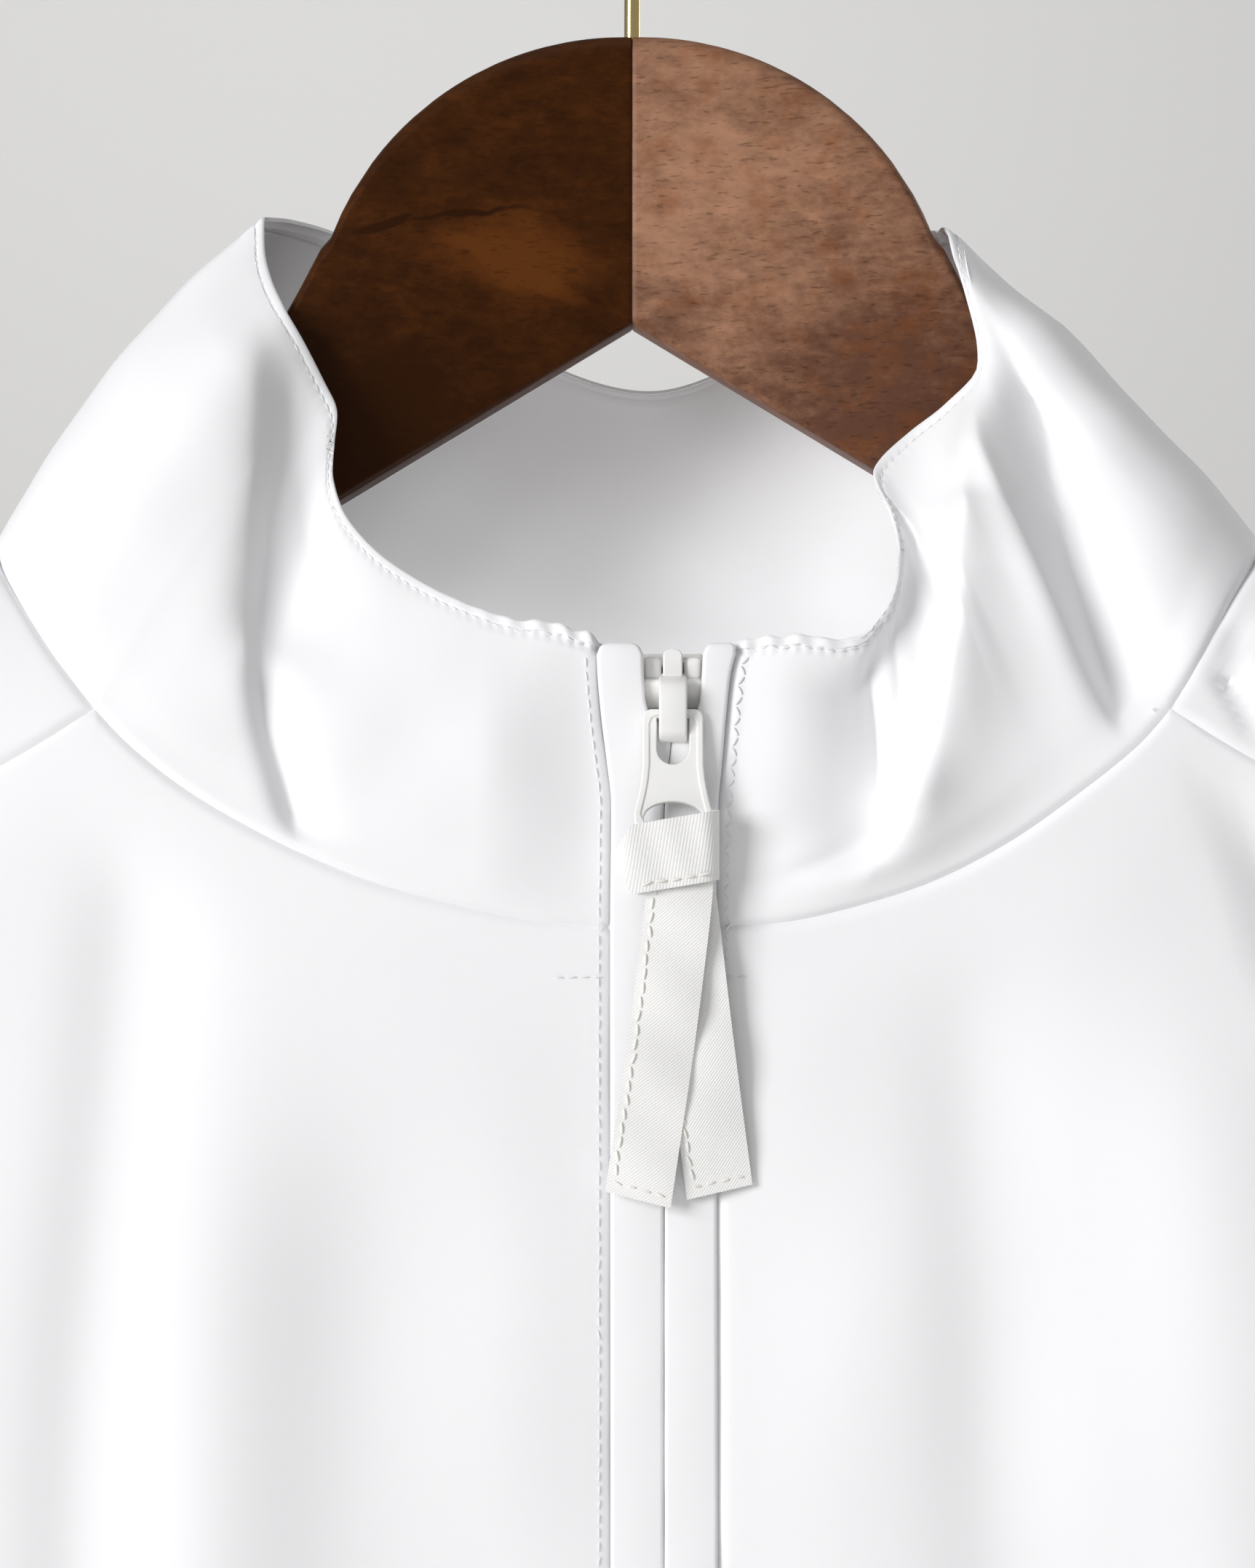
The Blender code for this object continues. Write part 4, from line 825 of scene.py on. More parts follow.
def ribbon_finish(look):
    """Twill: fine ribs that run up to the right over the ribbon's own UV map."""
    finish = Finish("ribbon_twill", Roughness=0.6, Sheen_Weight=0.15)
    ribs = finish.wave(finish.place("UV", rotation=(0.0, 0.0, math.radians(-42.0))), 700.0, "X")
    cross = finish.wave(finish.place("UV"), 1100.0, "Y", 0.3)
    cloud = finish.noise(finish.place(), 90.0, 3.0)
    height = ribs * 0.88 + cross * 0.12
    # Painted shade: the twill's low ribs are coloured darker.
    base = finish.mix(cloud.step(0.35, 0.65) * 0.3, finish.tones(height, look.colour, 0.90),
                      rgb(look.colour, 0.97))
    return finish.wear(Base_Color=base, Normal=finish.bump(height, 0.00010, look.weave))


def tape_finish(look):
    finish = Finish("zip_tape_weave", Roughness=0.8)
    weave = finish.wave(finish.place(), 300.0, "Z")
    # Painted shade: the weave's low bands are coloured darker.
    return finish.wear(Base_Color=finish.tones(weave, look.colour, 0.93),
                       Normal=finish.bump(weave, 0.0001, 0.5))


def enamel_finish(name, look, tint=1.0):
    """Cream-white enamel on zip metal, a little uneven."""
    finish = Finish(name, Coat_Weight=0.25, Coat_Roughness=0.2, IOR=1.5)
    where = finish.place()
    cloud = finish.noise(where, 260.0, 3.0)
    return finish.wear(Base_Color=finish.tones(cloud, look.enamel, 0.97 * tint, tint),
                       Roughness=0.32 + cloud * 0.12,
                       Normal=finish.bump(finish.noise(where, 1500.0, 2.0), 0.00002, 0.3))


def brass_finish(look):
    finish = Finish("polished_brass", Metallic=1.0)
    scratches = finish.noise(finish.place(scale=(1.0, 1.0, 0.08)), 3000.0, 2.0)
    cloud = finish.noise(finish.place(), 60.0, 3.0)
    return finish.wear(Base_Color=finish.tones(cloud, look.brass, 0.85), Roughness=0.10 + cloud * 0.12,
                       Normal=finish.bump(scratches, 0.00002, 0.2))


def wood_finish(name, look, side):
    """Dark stain over a figured grain that runs down each arm, under a satin varnish; painted shade on the
    left half, painted light and sheen on the right.
    """
    finish = Finish(name, Coat_Weight=0.03, Coat_Roughness=0.3, IOR=1.45, Specular_IOR_Level=0.08)
    down_arm = (0.0, side * math.radians(24.0), 0.0)

    def figure(stretch, *noise):
        return finish.noise(finish.place(rotation=down_arm, scale=(stretch, 1.0, 1.0)), *noise)

    body = finish.warp(finish.place(), 0.0035, 70.0)
    grain = figure(0.3, 330.0, 4.0, 0.66, 0.3)
    blotch = figure(0.8, 95.0, 4.0, 0.6, 0.5)
    tone = 0.34 * grain + 0.34 * figure(0.6, 520.0, 3.0, 0.7) + 0.42 * blotch
    if side < 0:
        tone = tone + 0.62 * finish.spot(body, -22.0, -127.0, 19.0, 10.0, -8.0)
        tone = tone + 0.45 * finish.spot(body, -22.0, -129.5, 17.0, 2.4, -23.0)
        tone = tone - 1.1 * finish.spot(body, -46.5, -121.0, 6.0, 1.3, 27.0)
        tone = tone - 0.45 * finish.spot(body, -30.0, -119.4, 15.0, 0.7, 3.0)
        tone = tone - 0.30 * finish.spot(body, -52.0, -165.0, 42.0, 36.0)
        # Painted shade: the left half's dark palette stands for its face turned away from the key light.
        base = finish.mix(tone.step(0.34, 1.05), rgb(look.stain_dark_and_painted_shade), rgb(look.stain_deep_and_painted_shade))
    else:
        # Painted sheen: lighter near the joint's top, fading darker toward the lower outer part.
        tone = tone + 0.22 * finish.spot(body, 14.0, -112.0, 46.0, 36.0, -30.0)
        tone = tone - 0.25 * finish.spot(body, 52.0, -160.0, 40.0, 34.0)
        # Painted light: the right half's lighter palette stands for its face turned toward the key light.
        base = finish.mix(tone.step(0.34, 0.92), rgb(look.stain_plum_and_painted_light, 0.8), rgb(look.stain_light_and_painted_light))
        warm = finish.noise(finish.place(), 150.0, 3.0, 0.6)
        base = finish.mix(warm.step(0.46, 0.74) * 0.35, base, rgb(look.stain_deep_and_painted_shade, 1.9))
    pores = figure(0.12, 1700.0, 2.0)
    base = finish.mix(pores.step(0.58, 0.72) * 0.4, base, rgb(look.stain_dark_and_painted_shade, 0.7))
    return finish.wear(Base_Color=base, Roughness=0.34 + blotch * 0.2,
                       Normal=finish.bump(grain * 0.5 + pores * 0.5, 0.00012, 0.35))


# The cloth pieces

def front_grid(side):
    left, _, right = neck_parts(64, 10)
    neck = left if side < 0 else right[::-1]
    shoulder = shoulder_seam(side, 48)
    arm, _ = armhole(side, 60, 40)
    top = np.vstack([neck[:-1], shoulder])
    outer = np.vstack([arm, side_seam(side, 110)[1:]])
    edge_z = neck[0][2] + (HEM_Z - neck[0][2]) * np.linspace(0.0, 1.0, len(outer)) ** 1.35
    edge_x = zip_edge(edge_z, side)
    flat_edge = np.stack([spread_of(edge_x, edge_z), edge_z], axis=1)
    across = toward_end(np.linspace(0.0, 1.0, len(top)))
    hem_spread = flat_edge[-1, 0] + (side - flat_edge[-1, 0]) * across
    flat_hem = np.stack([hem_spread, np.full(len(top), HEM_Z)], axis=1)
    flat_top = np.stack([spread_of(top[:, 0], top[:, 2]), top[:, 2]], axis=1)
    flat_side = np.stack([np.full(len(outer), float(side)), outer[:, 2]], axis=1)
    flat = coons(flat_top, flat_hem, flat_edge, flat_side, across=across)
    grid = body_point(x_of(flat[..., 0], flat[..., 1]), flat[..., 1], True)
    grid[0] = top
    grid[:, -1] = outer
    return grid


def seam_line(grid, side, inset, facing):
    """Points of the grid at a distance from one of its edges, with the cloth's outward directions."""
    rows, normal, away = (turned(values, side)
                          for values in (grid, outward_normals(grid, facing), edge_distance(grid, side)))
    points, outs = [], []
    for column in range(rows.shape[1]):
        spot = np.clip(np.searchsorted(away[:, column], inset), 1, len(rows) - 1)
        low, high = away[spot - 1, column], away[spot, column]
        share = np.clip((inset - low) / max(high - low, 1e-6), 0.0, 1.0)
        points.append(rows[spot - 1, column] * (1 - share) + rows[spot, column] * share)
        outs.append(normal[spot, column])
    return np.array(points), np.array(outs)


def make_fronts(look):
    finish = cloth_finish("cloth_fronts", look)
    rolls = ((("top", "right"), *EDGE_ROLL), (("left",), *ZIP_EDGE_ROLL))
    for side, hand in SIDES:
        grid = front_grid(side)
        x, z = grid[..., 0], grid[..., 2]
        height = fold_height(x, z, FRONT_FOLDS) + 0.5 * ripples(x, z, 11 + side, RIPPLE_SIZE)
        low = smooth_step(-z, 500.0, 860.0)
        height = height + low * 2.0 * ripples(x, 0.15 * z, 16 + side, 90.0, 5)
        height = height * edge_fade(grid, PANEL_EDGES, FRONT_FADE)
        grid = grid + height[..., None] * outward_normals(grid, FORWARD)
        grid = sewn(grid, PANEL_EDGES, rolls, FORWARD)
        item = cloth_object("windshirt_front_" + hand, grid, FORWARD)
        place(item, "windshirt", finish, ("front_" + hand,))


def make_back(look):
    """The back, which wraps over both shoulders; its lower edge runs from armhole to armhole by the hem."""
    cells, arm_cells, side_cells, rows = 300, 72, 48, 110
    _, neck, _ = neck_parts(10, cells)
    down = {side: np.vstack([armhole(side, 20, arm_cells)[1][::-1], side_seam(side, side_cells)[1:]])
            for side in (-1, 1)}
    hem_cells = cells - 2 * (arm_cells + side_cells)
    hem_z = np.full(hem_cells + 1, HEM_Z)
    hem = body_point(x_of(np.linspace(-1.0, 1.0, hem_cells + 1), hem_z), hem_z, False)
    outer = np.vstack([down[-1], hem[1:-1], down[1][::-1]])
    seams = {side: shoulder_seam(side, rows) for side in (-1, 1)}
    grid = from_flat(coons(to_flat(neck), to_flat(outer), to_flat(seams[-1]), to_flat(seams[1]),
                           down=toward_end(np.linspace(0.0, 1.0, rows + 1))))
    grid[0], grid[-1] = neck, outer
    grid[:, 0], grid[:, -1] = seams[-1], seams[1]

    x, y, z = np.moveaxis(grid, -1, 0)
    height = fold_height(x, z, BACK_FOLDS) * smooth_step(y, 5.0, 20.0) + 0.5 * ripples(x, z, 23, RIPPLE_SIZE)
    off_armhole = smooth_step(edge_distance(grid, "bottom"), 0.0, BACK_FADE)
    keep = edge_fade(grid, PANEL_EDGES, BACK_FADE) * np.where(z[-1][None] > HEM_Z + 1.0, off_armhole, 1.0)
    close = fold_height(x, z, SHOULDER_FOLDS) * smooth_step(-y, 2.0, 10.0)
    close = close * smooth_step(edge_distance(grid, "top"), 0.0, 4.0)
    close = close * smooth_step(edge_distance(grid, "right"), 0.0, 3.0)
    grid = grid + (height * keep + close)[..., None] * outward_normals(grid, BACKWARD)
    grid = sewn(grid, PANEL_EDGES + ("bottom",), ((PANEL_EDGES, *EDGE_ROLL),), BACKWARD)
    item = cloth_object("windshirt_back", grid, BACKWARD)
    place(item, "windshirt", cloth_finish("cloth_back", look), ("back",))


def sleeve_grid(side, around_cells, ring_count):
    """A sleeve's rings of points, each point's turn round it, and each ring's distance from the armhole."""
    front, back = armhole(side, around_cells // 2, around_cells // 2)
    loop = np.vstack([front[:-1], back[:-1]])
    middle_z = 0.5 * (SHOULDER_TIP_Z + UNDERARM_Z)
    height = np.clip((loop[:, 2] - middle_z) / (SHOULDER_TIP_Z - middle_z), -1.0, 1.0)
    drop = np.maximum(shoulder_z(loop[:, 0]) - loop[:, 2], 0.0)
    ahead = loop[:, 1] < middle_y(loop[:, 0], drop)
    around = np.where(ahead, 1.0, -1.0) * np.arccos(height)
    rings = [loop]
    for ux, uy, uz, lx, ly, lz, half_depth in SLEEVE:
        upper, lower = np.array([side * ux, uy, uz]), np.array([side * lx, ly, lz])
        centre, reach = 0.5 * (upper + lower), 0.5 * (upper - lower)
        depth = np.array([0.0, -half_depth, 0.0])
        rings.append(centre + np.cos(around)[:, None] * reach + np.sin(around)[:, None] * depth)
    rings = np.array(rings)
    spots = run_of(rings[:, len(front) // 2])
    down = np.linspace(0.0, spots[-1], ring_count + 1)
    grid = smooth_value(down, [(s, *row) for s, row in zip(spots, rings.reshape(len(rings), -1))])
    return grid.reshape(ring_count + 1, -1, 3), around, down


def make_sleeves(look):
    finish = cloth_finish("cloth_sleeves", look)
    for side, hand in SIDES:
        grid, around, down = sleeve_grid(side, 104, 150)
        degrees = np.degrees(around)[None, :]
        length = down[:, None]
        height = np.zeros(grid.shape[:2])
        for high, at, spread, middle, reach, slant in SLEEVE_FOLDS:
            away = (degrees - (at + slant * (length - middle) * 0.3) + 180.0) % 360.0 - 180.0
            height += high * np.exp(-(away / spread) ** 2) * np.exp(-((length - middle) / reach) ** 2)
        height += 0.5 * ripples(degrees * 0.6, length, 31 + side, 70.0)
        height *= smooth_step(length, 4.0, 60.0)
        grid = grid + height[..., None] * outward_normals(grid, closed=True)
        grid = sewn(grid, ("top",), ((("top",), 0.8, 1.8),), closed=True)
        item = cloth_object("windshirt_sleeve_" + hand, grid, closed=True)
        place(item, "windshirt", finish, ("sleeve_" + hand,))


# The collar

def collar_edges(front_cells, back_cells):
    """The neck seam and the top edge, paired station by station from the zip's left side to its right."""
    left, rear, right = neck_parts(front_cells, back_cells)
    seam = np.vstack([left, rear[1:-1], right])
    first_side, last_side = int(np.argmin(seam[:, 0])), int(np.argmax(seam[:, 0]))
    top = []
    for table, start, end in ((COLLAR_TOP_LEFT, 0, first_side), (COLLAR_TOP_BACK, first_side, last_side),
                              (COLLAR_TOP_RIGHT, last_side, len(seam) - 1)):
        run = run_of(seam[start:end + 1])
        points = sampled(along(table, 400), np.linspace(0.0, 1.0, 401), run / run[-1])
        top.append(points[0 if start == 0 else 1:])
    return seam, np.vstack(top)


def make_collar(look, thread):
    seam, top = collar_edges(210, 200)
    share = np.linspace(0.0, 1.0, 64)[:, None]
    grid = (1.0 - share[..., None]) * seam[None] + share[..., None] * top[None]
    outward = np.cross(np.broadcast_to(top - seam, grid.shape), np.gradient(grid, axis=1))
    outward /= np.linalg.norm(outward, axis=-1, keepdims=True)
    x, y, z = np.moveaxis(grid, -1, 0)
    spot = np.linspace(0.0, 1.0, grid.shape[1])
    near_zip = smooth_step(np.minimum(spot, 1.0 - spot), 0.0, 0.08)[None, :]
    swell = COLLAR_BULGE * 4.0 * share * (1.0 - share) * near_zip
    folds = fold_height(x, z, COLLAR_FOLDS, 1.5) * (smooth_step(-y, 2.0, 12.0) * near_zip)
    folds = folds * smooth_step(share, 0.0, 0.12) * (1.0 - 0.8 * smooth_step(share, 0.78, 1.0))
    unrest = 0.25 * ripples(x * 1.3, z, 5, 30.0) * near_zip * smooth_step(share, 0.0, 0.2)
    grid = grid + (swell + folds + unrest)[..., None] * outward
    for column, side in ((0, -1), (-1, 1)):
        grid[:, column, 0] = zip_edge(grid[:, column, 2], side)
    for edge in ("top", "bottom", "left", "right"):
        grid = add_edge_rows(grid, edge, EDGE_STEPS + (3.0, 3.8) if edge == "bottom" else EDGE_STEPS)
    normal = outward_normals(grid, BACKWARD)
    grid = roll_edges(grid, ("top",), normal, 1.0, 2.0)
    grid = roll_edges(grid, ("left", "right"), normal, 0.7, 1.6)
    grid = roll_edges(grid, ("bottom",), normal, 0.35, 0.5)

    # The sewn upper edge: a groove with a pucker at each stitch, and a small frill close to the zip
    away = edge_distance(grid, "bottom")
    length = run_of(grid[-1])
    pucker = 0.5 + 0.5 * np.cos(2 * math.pi * length / look.stitch_pitch)[None, :]
    close = np.exp(-(np.minimum(length, length[-1] - length) / FRILL_REACH) ** 2)[None, :]
    groove = np.exp(-((away - look.topstitch_inset) / GROOVE_WIDTH) ** 2)
    groove = groove * (GROOVE_DEPTH + PUCKER_DEPTH * pucker) * (1.0 + 1.6 * close)
    grid = grid - groove[..., None] * normal
    lift = 0.30 * np.sin(length * FRILL_TURN)[None, :] + 0.16 * np.sin(length * 0.7 + 1.0)[None, :]
    grid[..., 2] += lift * close * np.exp(-away / 1.8)
    frill = 0.45 * close * np.exp(-((away - 1.3) / 1.0) ** 2) * np.sin(length * FRILL_TURN + 0.8)
    grid = grid + frill[..., None] * normal
    path, out = seam_line(grid, "bottom", look.topstitch_inset, BACKWARD)
    for edge in PANEL_EDGES:
        grid = add_allowance(grid, edge, BACKWARD)
    item = cloth_object("windshirt_collar", grid, BACKWARD, wall=0.8)
    place(item, "windshirt", cloth_finish("cloth_collar", look), ("collar",))
    row = stitches("collar_topstitching", path, out, length=look.stitch_pitch - 0.5, gap=0.5)
    place(row, "windshirt", thread)


# The zip

def zip_edge(z, side):
    """The x of the panels' edge beside the zip."""
    column = 0 if side < 0 else 3
    return smooth_value(z, ZIP_EDGES)[:, column] + side * SEAM_GAP


def zip_face_y(z):
    """The outer face of the cloth beside the zip."""
    z = np.atleast_1d(np.asarray(z, float))
    seam_z, top_z = NECK_FRONT[0][2], COLLAR_TOP_LEFT[0][2]
    seam_y = body_point(ZIP_MIDDLE, seam_z, True)[..., 1]
    up = np.clip((z - seam_z) / (top_z - seam_z), 0.0, 1.2)
    low = body_point(np.full(z.shape, ZIP_MIDDLE), np.minimum(z, seam_z), True)[:, 1]
    return np.where(z > seam_z, seam_y + (COLLAR_TOP_LEFT[0][1] - seam_y) * up, low)


def rounded_section(half_width, half_height, radius, low_radius=None, steps=3, limit=0.98):
    """A rounded rectangle's outline, counter-clockwise; its lower corners may have a radius of their own."""
    points = []
    for quarter, (sx, sy) in enumerate(((1, 1), (-1, 1), (-1, -1), (1, -1))):
        corner = radius if sy > 0 or low_radius is None else low_radius
        corner = min(corner, limit * half_width, limit * half_height)
        for step in range(steps + 1):
            angle = 0.5 * math.pi * (quarter + step / steps)
            points.append((sx * (half_width - corner) + corner * math.cos(angle),
                           sy * (half_height - corner) + corner * math.sin(angle)))
    return points


def lofted(name, rings):
    """A bar with closed ends: a round bar cut into a station for each ring, and set to the rings."""
    rings = np.array(rings)
    stations, corners = rings.shape[:2]
    bpy.ops.mesh.primitive_cylinder_add(vertices=corners, radius=1.0, depth=2.0, end_fill_type="NGON")
    item = bpy.context.object
    item.name = name
    bpy.ops.object.mode_set(mode="EDIT")
    made = bmesh.from_edit_mesh(item.data)
    made.select_mode = {"EDGE"}
    for edge in made.edges:
        edge.select_set(abs(edge.verts[0].co.z - edge.verts[1].co.z) > 1.0)
    made.select_flush_mode()
    bmesh.update_edit_mesh(item.data)
    bpy.ops.mesh.subdivide(number_cuts=stations - 2)
    bpy.ops.object.mode_set(mode="OBJECT")
    verts = np.array([v.co[:] for v in item.data.vertices])
    level = np.rint((1.0 - verts[:, 2]) * 0.5 * (stations - 1)).astype(int)
    angle = np.arctan2(verts[:, 0], verts[:, 1])
    corner = np.rint(angle / (2 * math.pi) * corners).astype(int) % corners
    item.data.vertices.foreach_set("co", (rings[level, corner] * MM).ravel())
    only(item)
    bpy.ops.object.mode_set(mode="EDIT")
    bpy.ops.mesh.select_all(action="SELECT")
    bpy.ops.mesh.normals_make_consistent(inside=False)
    bpy.ops.object.mode_set(mode="OBJECT")
    return item


def make_welts(look, thread):
    """The folded lips of cloth beside the zip, and the sewing along their seams."""
    finish = cloth_finish("cloth_welts", look)
    heights = np.concatenate([WELT_TOP_Z - np.array([0.0, 0.15, 0.4, 0.8, 1.4, 2.2]),
                              np.linspace(-204.0, -236.0, 36), np.linspace(-238.0, -370.0, 60),
                              np.linspace(-376.0, HEM_Z, 60)])
    rows, face = smooth_value(heights, ZIP_EDGES), zip_face_y(heights)
    for side, hand in SIDES:
        outer_column, inner_column = (0, 1) if side < 0 else (3, 2)
        wave = 0.12 * ripples(heights, heights * 0.3, 41 + side, 18.0)
        rings = []
        for i, z in enumerate(heights):
            outer = rows[i, outer_column]
            closed = smooth_step(-z, -WELT_CLOSES[0], -WELT_CLOSES[1])[()]
            inner = (1.0 - closed) * rows[i, inner_column] + closed * (zip_middle(z) + side * 0.03)
            middle, half = 0.5 * (outer + inner), 0.5 * abs(outer - inner)
            cap = math.sqrt(max(1.0 - max(z - WELT_TOP_Z + WELT_CAP, 0.0) ** 2 / WELT_CAP**2, 0.02))
            y = face[i] - WELT_PROUD + 0.5 * WELT_THICK
            section = rounded_section(half * (0.42 + 0.58 * cap), 0.5 * WELT_THICK * (0.3 + 0.7 * cap),
                                      WELT_ROUND, steps=5)
            rings.append([(middle + a, y + b * (1.0 + wave[i]) - 0.15 * cap, z) for a, b in section])
        item = lofted("zip_welt_" + hand, rings)
        smooth(item, 60.0)
        place(item, "windshirt", finish, ("welt_" + hand,))
    for (side, hand), end in zip(SIDES, PLACKET_ENDS):
        x = np.linspace(zip_edge(PLACKET_Z, side)[0] + side * 0.8, end, 12)
        path = body_point(x, np.full(12, PLACKET_Z), True) + [0.0, -THREAD_PROUD, 0.0]
        place(stitches("placket_stitching_" + hand, path, FORWARD, gap=0.5), "windshirt", thread)
    z = np.linspace(-203.0, HEM_Z + 4.0, 400)
    for (side, hand), (gap, radius, lean) in zip(SIDES, ((0.7, 0.16, 0.0), (0.05, 0.30, 0.55))):
        path = np.stack([zip_edge(z, side) + side * 1.7, zip_face_y(z) - THREAD_PROUD, z], axis=1)
        place(stitches("zip_seam_stitching_" + hand, path, FORWARD, 1.8, gap, radius, lean),
              "windshirt", thread)


def slider_spot(down, deep):
    """A point of the tilted slider in the YZ plane, from its front top edge."""
    _, y, z = SLIDER_FRONT_TOP
    sin, cos = math.sin(SLIDER_TILT), math.cos(SLIDER_TILT)
    return y + down * sin + deep * cos, z - down * cos + deep * sin


def zip_tape_route():
    """The tape's middle plane, y and z: it comes out of the slider and then lies behind the panels."""
    high = [slider_spot(down, 0.5 * SLIDER_DEPTH)
            for down in (-1.0, 0.5 * SLIDER_LENGTH, SLIDER_LENGTH + 0.6)]
    bend = [(-43.3, -215.6), (-47.2, -221.0)]
    low_z = np.concatenate([[-231.0, -240.0, -251.5, -275.0, -310.0],
                            np.linspace(-370.0, HEM_Z + 1.0, 7)])
    low = zip_face_y(low_z) + ZIP_TAPE_BEHIND + 0.5 * ZIP_TAPE_THICK
    return np.array(high + bend + list(zip(low, low_z)))


def zip_middle(z):
    return ZIP_MIDDLE + (SLIDER_FRONT_TOP[0] - ZIP_MIDDLE) * smooth_step(z, *ZIP_BENDS)


def make_zip_tapes(look):
    finish = tape_finish(look)
    teeth_finish = enamel_finish("zip_teeth_resin", look, 0.99)
    route = zip_tape_route()
    spots = run_of(route)
    flat = sampled(route, spots, np.linspace(0.0, spots[-1], 200))
    way = np.gradient(flat, axis=0)
    way /= np.linalg.norm(way, axis=1, keepdims=True)
    for side, hand in SIDES:
        rings = []
        for (y, z), (dy, dz) in zip(flat, way):
            inner = 0.15 + smooth_step(z, -216.0, -208.0) * (0.5 * SLIDER_POST[0] + 0.15)
            ny, nz = 0.5 * ZIP_TAPE_THICK * dz, -0.5 * ZIP_TAPE_THICK * dy
            near, far = zip_middle(z) + side * inner, zip_middle(z) + side * ZIP_TAPE_OUTER
            rings.append([(near, y + ny, z + nz), (far, y + ny, z + nz),
                          (far, y - ny, z - nz), (near, y - ny, z - nz)])
        item = lofted("woven_zip_tape_" + hand, rings)
        place(item, "windshirt", finish, ("zip_tape_" + hand,))
        make_teeth(side, hand, flat, way, teeth_finish)


def make_teeth(side, hand, flat, way, finish):
    """One row of teeth: blocks on the tape's edge that lie between those of the other row."""
    bpy.ops.mesh.primitive_cube_add(size=1.0)
    seed = bpy.context.object
    finish_modifier(seed, "BEVEL", width=0.22, segments=1)
    spots = run_of(flat)
    at = (np.arange(int(spots[-1] / TOOTH_PITCH) - 1) + (0.25 if side < 0 else 0.75)) * TOOTH_PITCH
    wide, deep, high = TOOTH_SIZE
    axes, shifts = [], []
    for (y, z), (dy, dz) in zip(sampled(flat, spots, at), sampled(way, spots, at)):
        apart = smooth_step(z, -216.0, -207.0)
        x = zip_middle(z) + side * (0.55 + apart * (0.5 * SLIDER_POST[0] + 1.0))
        axes.append(np.array([[wide, 0.0, 0.0], [0.0, deep * dz, -deep * dy],
                              [0.0, high * dy, high * dz]]))
        shifts.append(([x, y, z],))
    item = copies("zip_teeth_" + hand, seed, axes, shifts)
    smooth(item, 40.0)
    place(item, "windshirt", finish)


def put(item, spot, turn=Matrix.Identity(4)):
    """Turn a piece, move it to a spot in millimetres and settle it there."""
    item.matrix_world = Matrix.Translation(Vector(spot) * MM) @ turn
    return settle(item)


def block(name, size, bevel, segments=3):
    """A bevelled box in millimetres round its own middle."""
    bpy.ops.mesh.primitive_cube_add(size=1.0)
    item = bpy.context.object
    item.name = name
    item.data.transform(Matrix.Diagonal((*(Vector(size) * MM), 1.0)))
    finish_modifier(item, "BEVEL", width=bevel * MM, segments=segments)
    return item


def make_slider(look):
    """Two plates with folded rims, joined by a peaked post at the mouth, and the zip's two end teeth."""
    half = 0.5 * SLIDER_LENGTH
    deep_back = SLIDER_DEPTH - 0.5 * SLIDER_PLATE

    def at(item, across, down, deep):
        return put(item, (SLIDER_FRONT_TOP[0] + across, *slider_spot(down, deep)),
                   Matrix.Rotation(SLIDER_TILT, 4, "X"))

    pieces = []
    for name, width, deep in (("slider_front", SLIDER_WIDTH, 0.5 * SLIDER_PLATE),
                              ("slider_back", SLIDER_WIDTH - 0.6, deep_back)):
        pieces.append(at(block(name, (width, SLIDER_PLATE, SLIDER_LENGTH), 0.5), 0.0, half, deep))
    for side in (-1, 1):
        for deep in (0.5 * SLIDER_PLATE + 0.75, deep_back - 0.75):
            rim = block("slider_rim", (1.0, 1.2, SLIDER_LENGTH - 0.5), 0.35)
            pieces.append(at(rim, side * (0.5 * SLIDER_WIDTH - 0.55), half, deep))
    cover = block("slider_cover", (SLIDER_WIDTH - 0.4, 3.0, 5.6), 0.9, 5)
    pieces.append(put(cover, SLIDER_COVER, Matrix.Rotation(math.radians(14.0), 4, "X")))
    post = block("slider_post", (3.2, SLIDER_DEPTH - 1.0, 3.6), 0.5)
    pieces.append(at(post, 0.0, 1.7, 0.5 * SLIDER_DEPTH))
    house = [(-1.75, -4.2), (1.75, -4.2), (1.75, 0.5), (1.45, 1.15), (0.0, 1.75), (-1.45, 1.15),
             (-1.75, 0.5)]
    peak = flat_outline("slider_peak", [house], 3.4, 0.3)
    pieces.append(put(peak, SLIDER_PEAK, Matrix.Rotation(math.radians(78.0), 4, "X")))
    item = join(pieces, "zip_slider_body")
    smooth(item, 40.0)
    place(item, "windshirt", enamel_finish("slider_enamel", look), ("zip_slider",))
    ends = [put(block("zip_end_tooth", (3.5, 3.4, 4.4), 1.2, 5),
                (SLIDER_PEAK[0] + side * 3.75, -47.4, -205.4)) for side in (-1, 1)]
    item = join(ends, "zip_end_teeth")
    smooth(item, 60.0)
    place(item, "windshirt", enamel_finish("end_teeth_enamel", look))


def flat_outline(name, outlines, thick, bevel):
    """A flat piece from closed outlines, the first its edge and the others its holes."""
    curve = bpy.data.curves.new(name, "CURVE")
    curve.dimensions = "2D"
    curve.fill_mode = "BOTH"
    curve.extrude = (0.5 * thick - bevel) * MM
    curve.bevel_depth = bevel * MM
    curve.bevel_resolution = 2
    curve.offset = -bevel * MM
    for outline in outlines:
        run = curve.splines.new("POLY")
        run.points.add(len(outline) - 1)
        run.use_cyclic_u = True
        for point, (x, y) in zip(run.points, outline):
            point.co = (x * MM, y * MM, 0.0, 1.0)
    return linked(name, curve)


def arc(x, y, radius_x, radius_y, start, end, steps):
    angles = np.radians(np.linspace(start, end, steps + 1))
    return [(x + radius_x * math.cos(a), y + radius_y * math.sin(a)) for a in angles]


def rounded_path(points):
    """The same outline with its corners rounded by a smooth curve through its points."""
    points = np.array(points, float)
    return [tuple(p) for p in spline(np.vstack([points[-1:], points, points[:2]]), 4)]


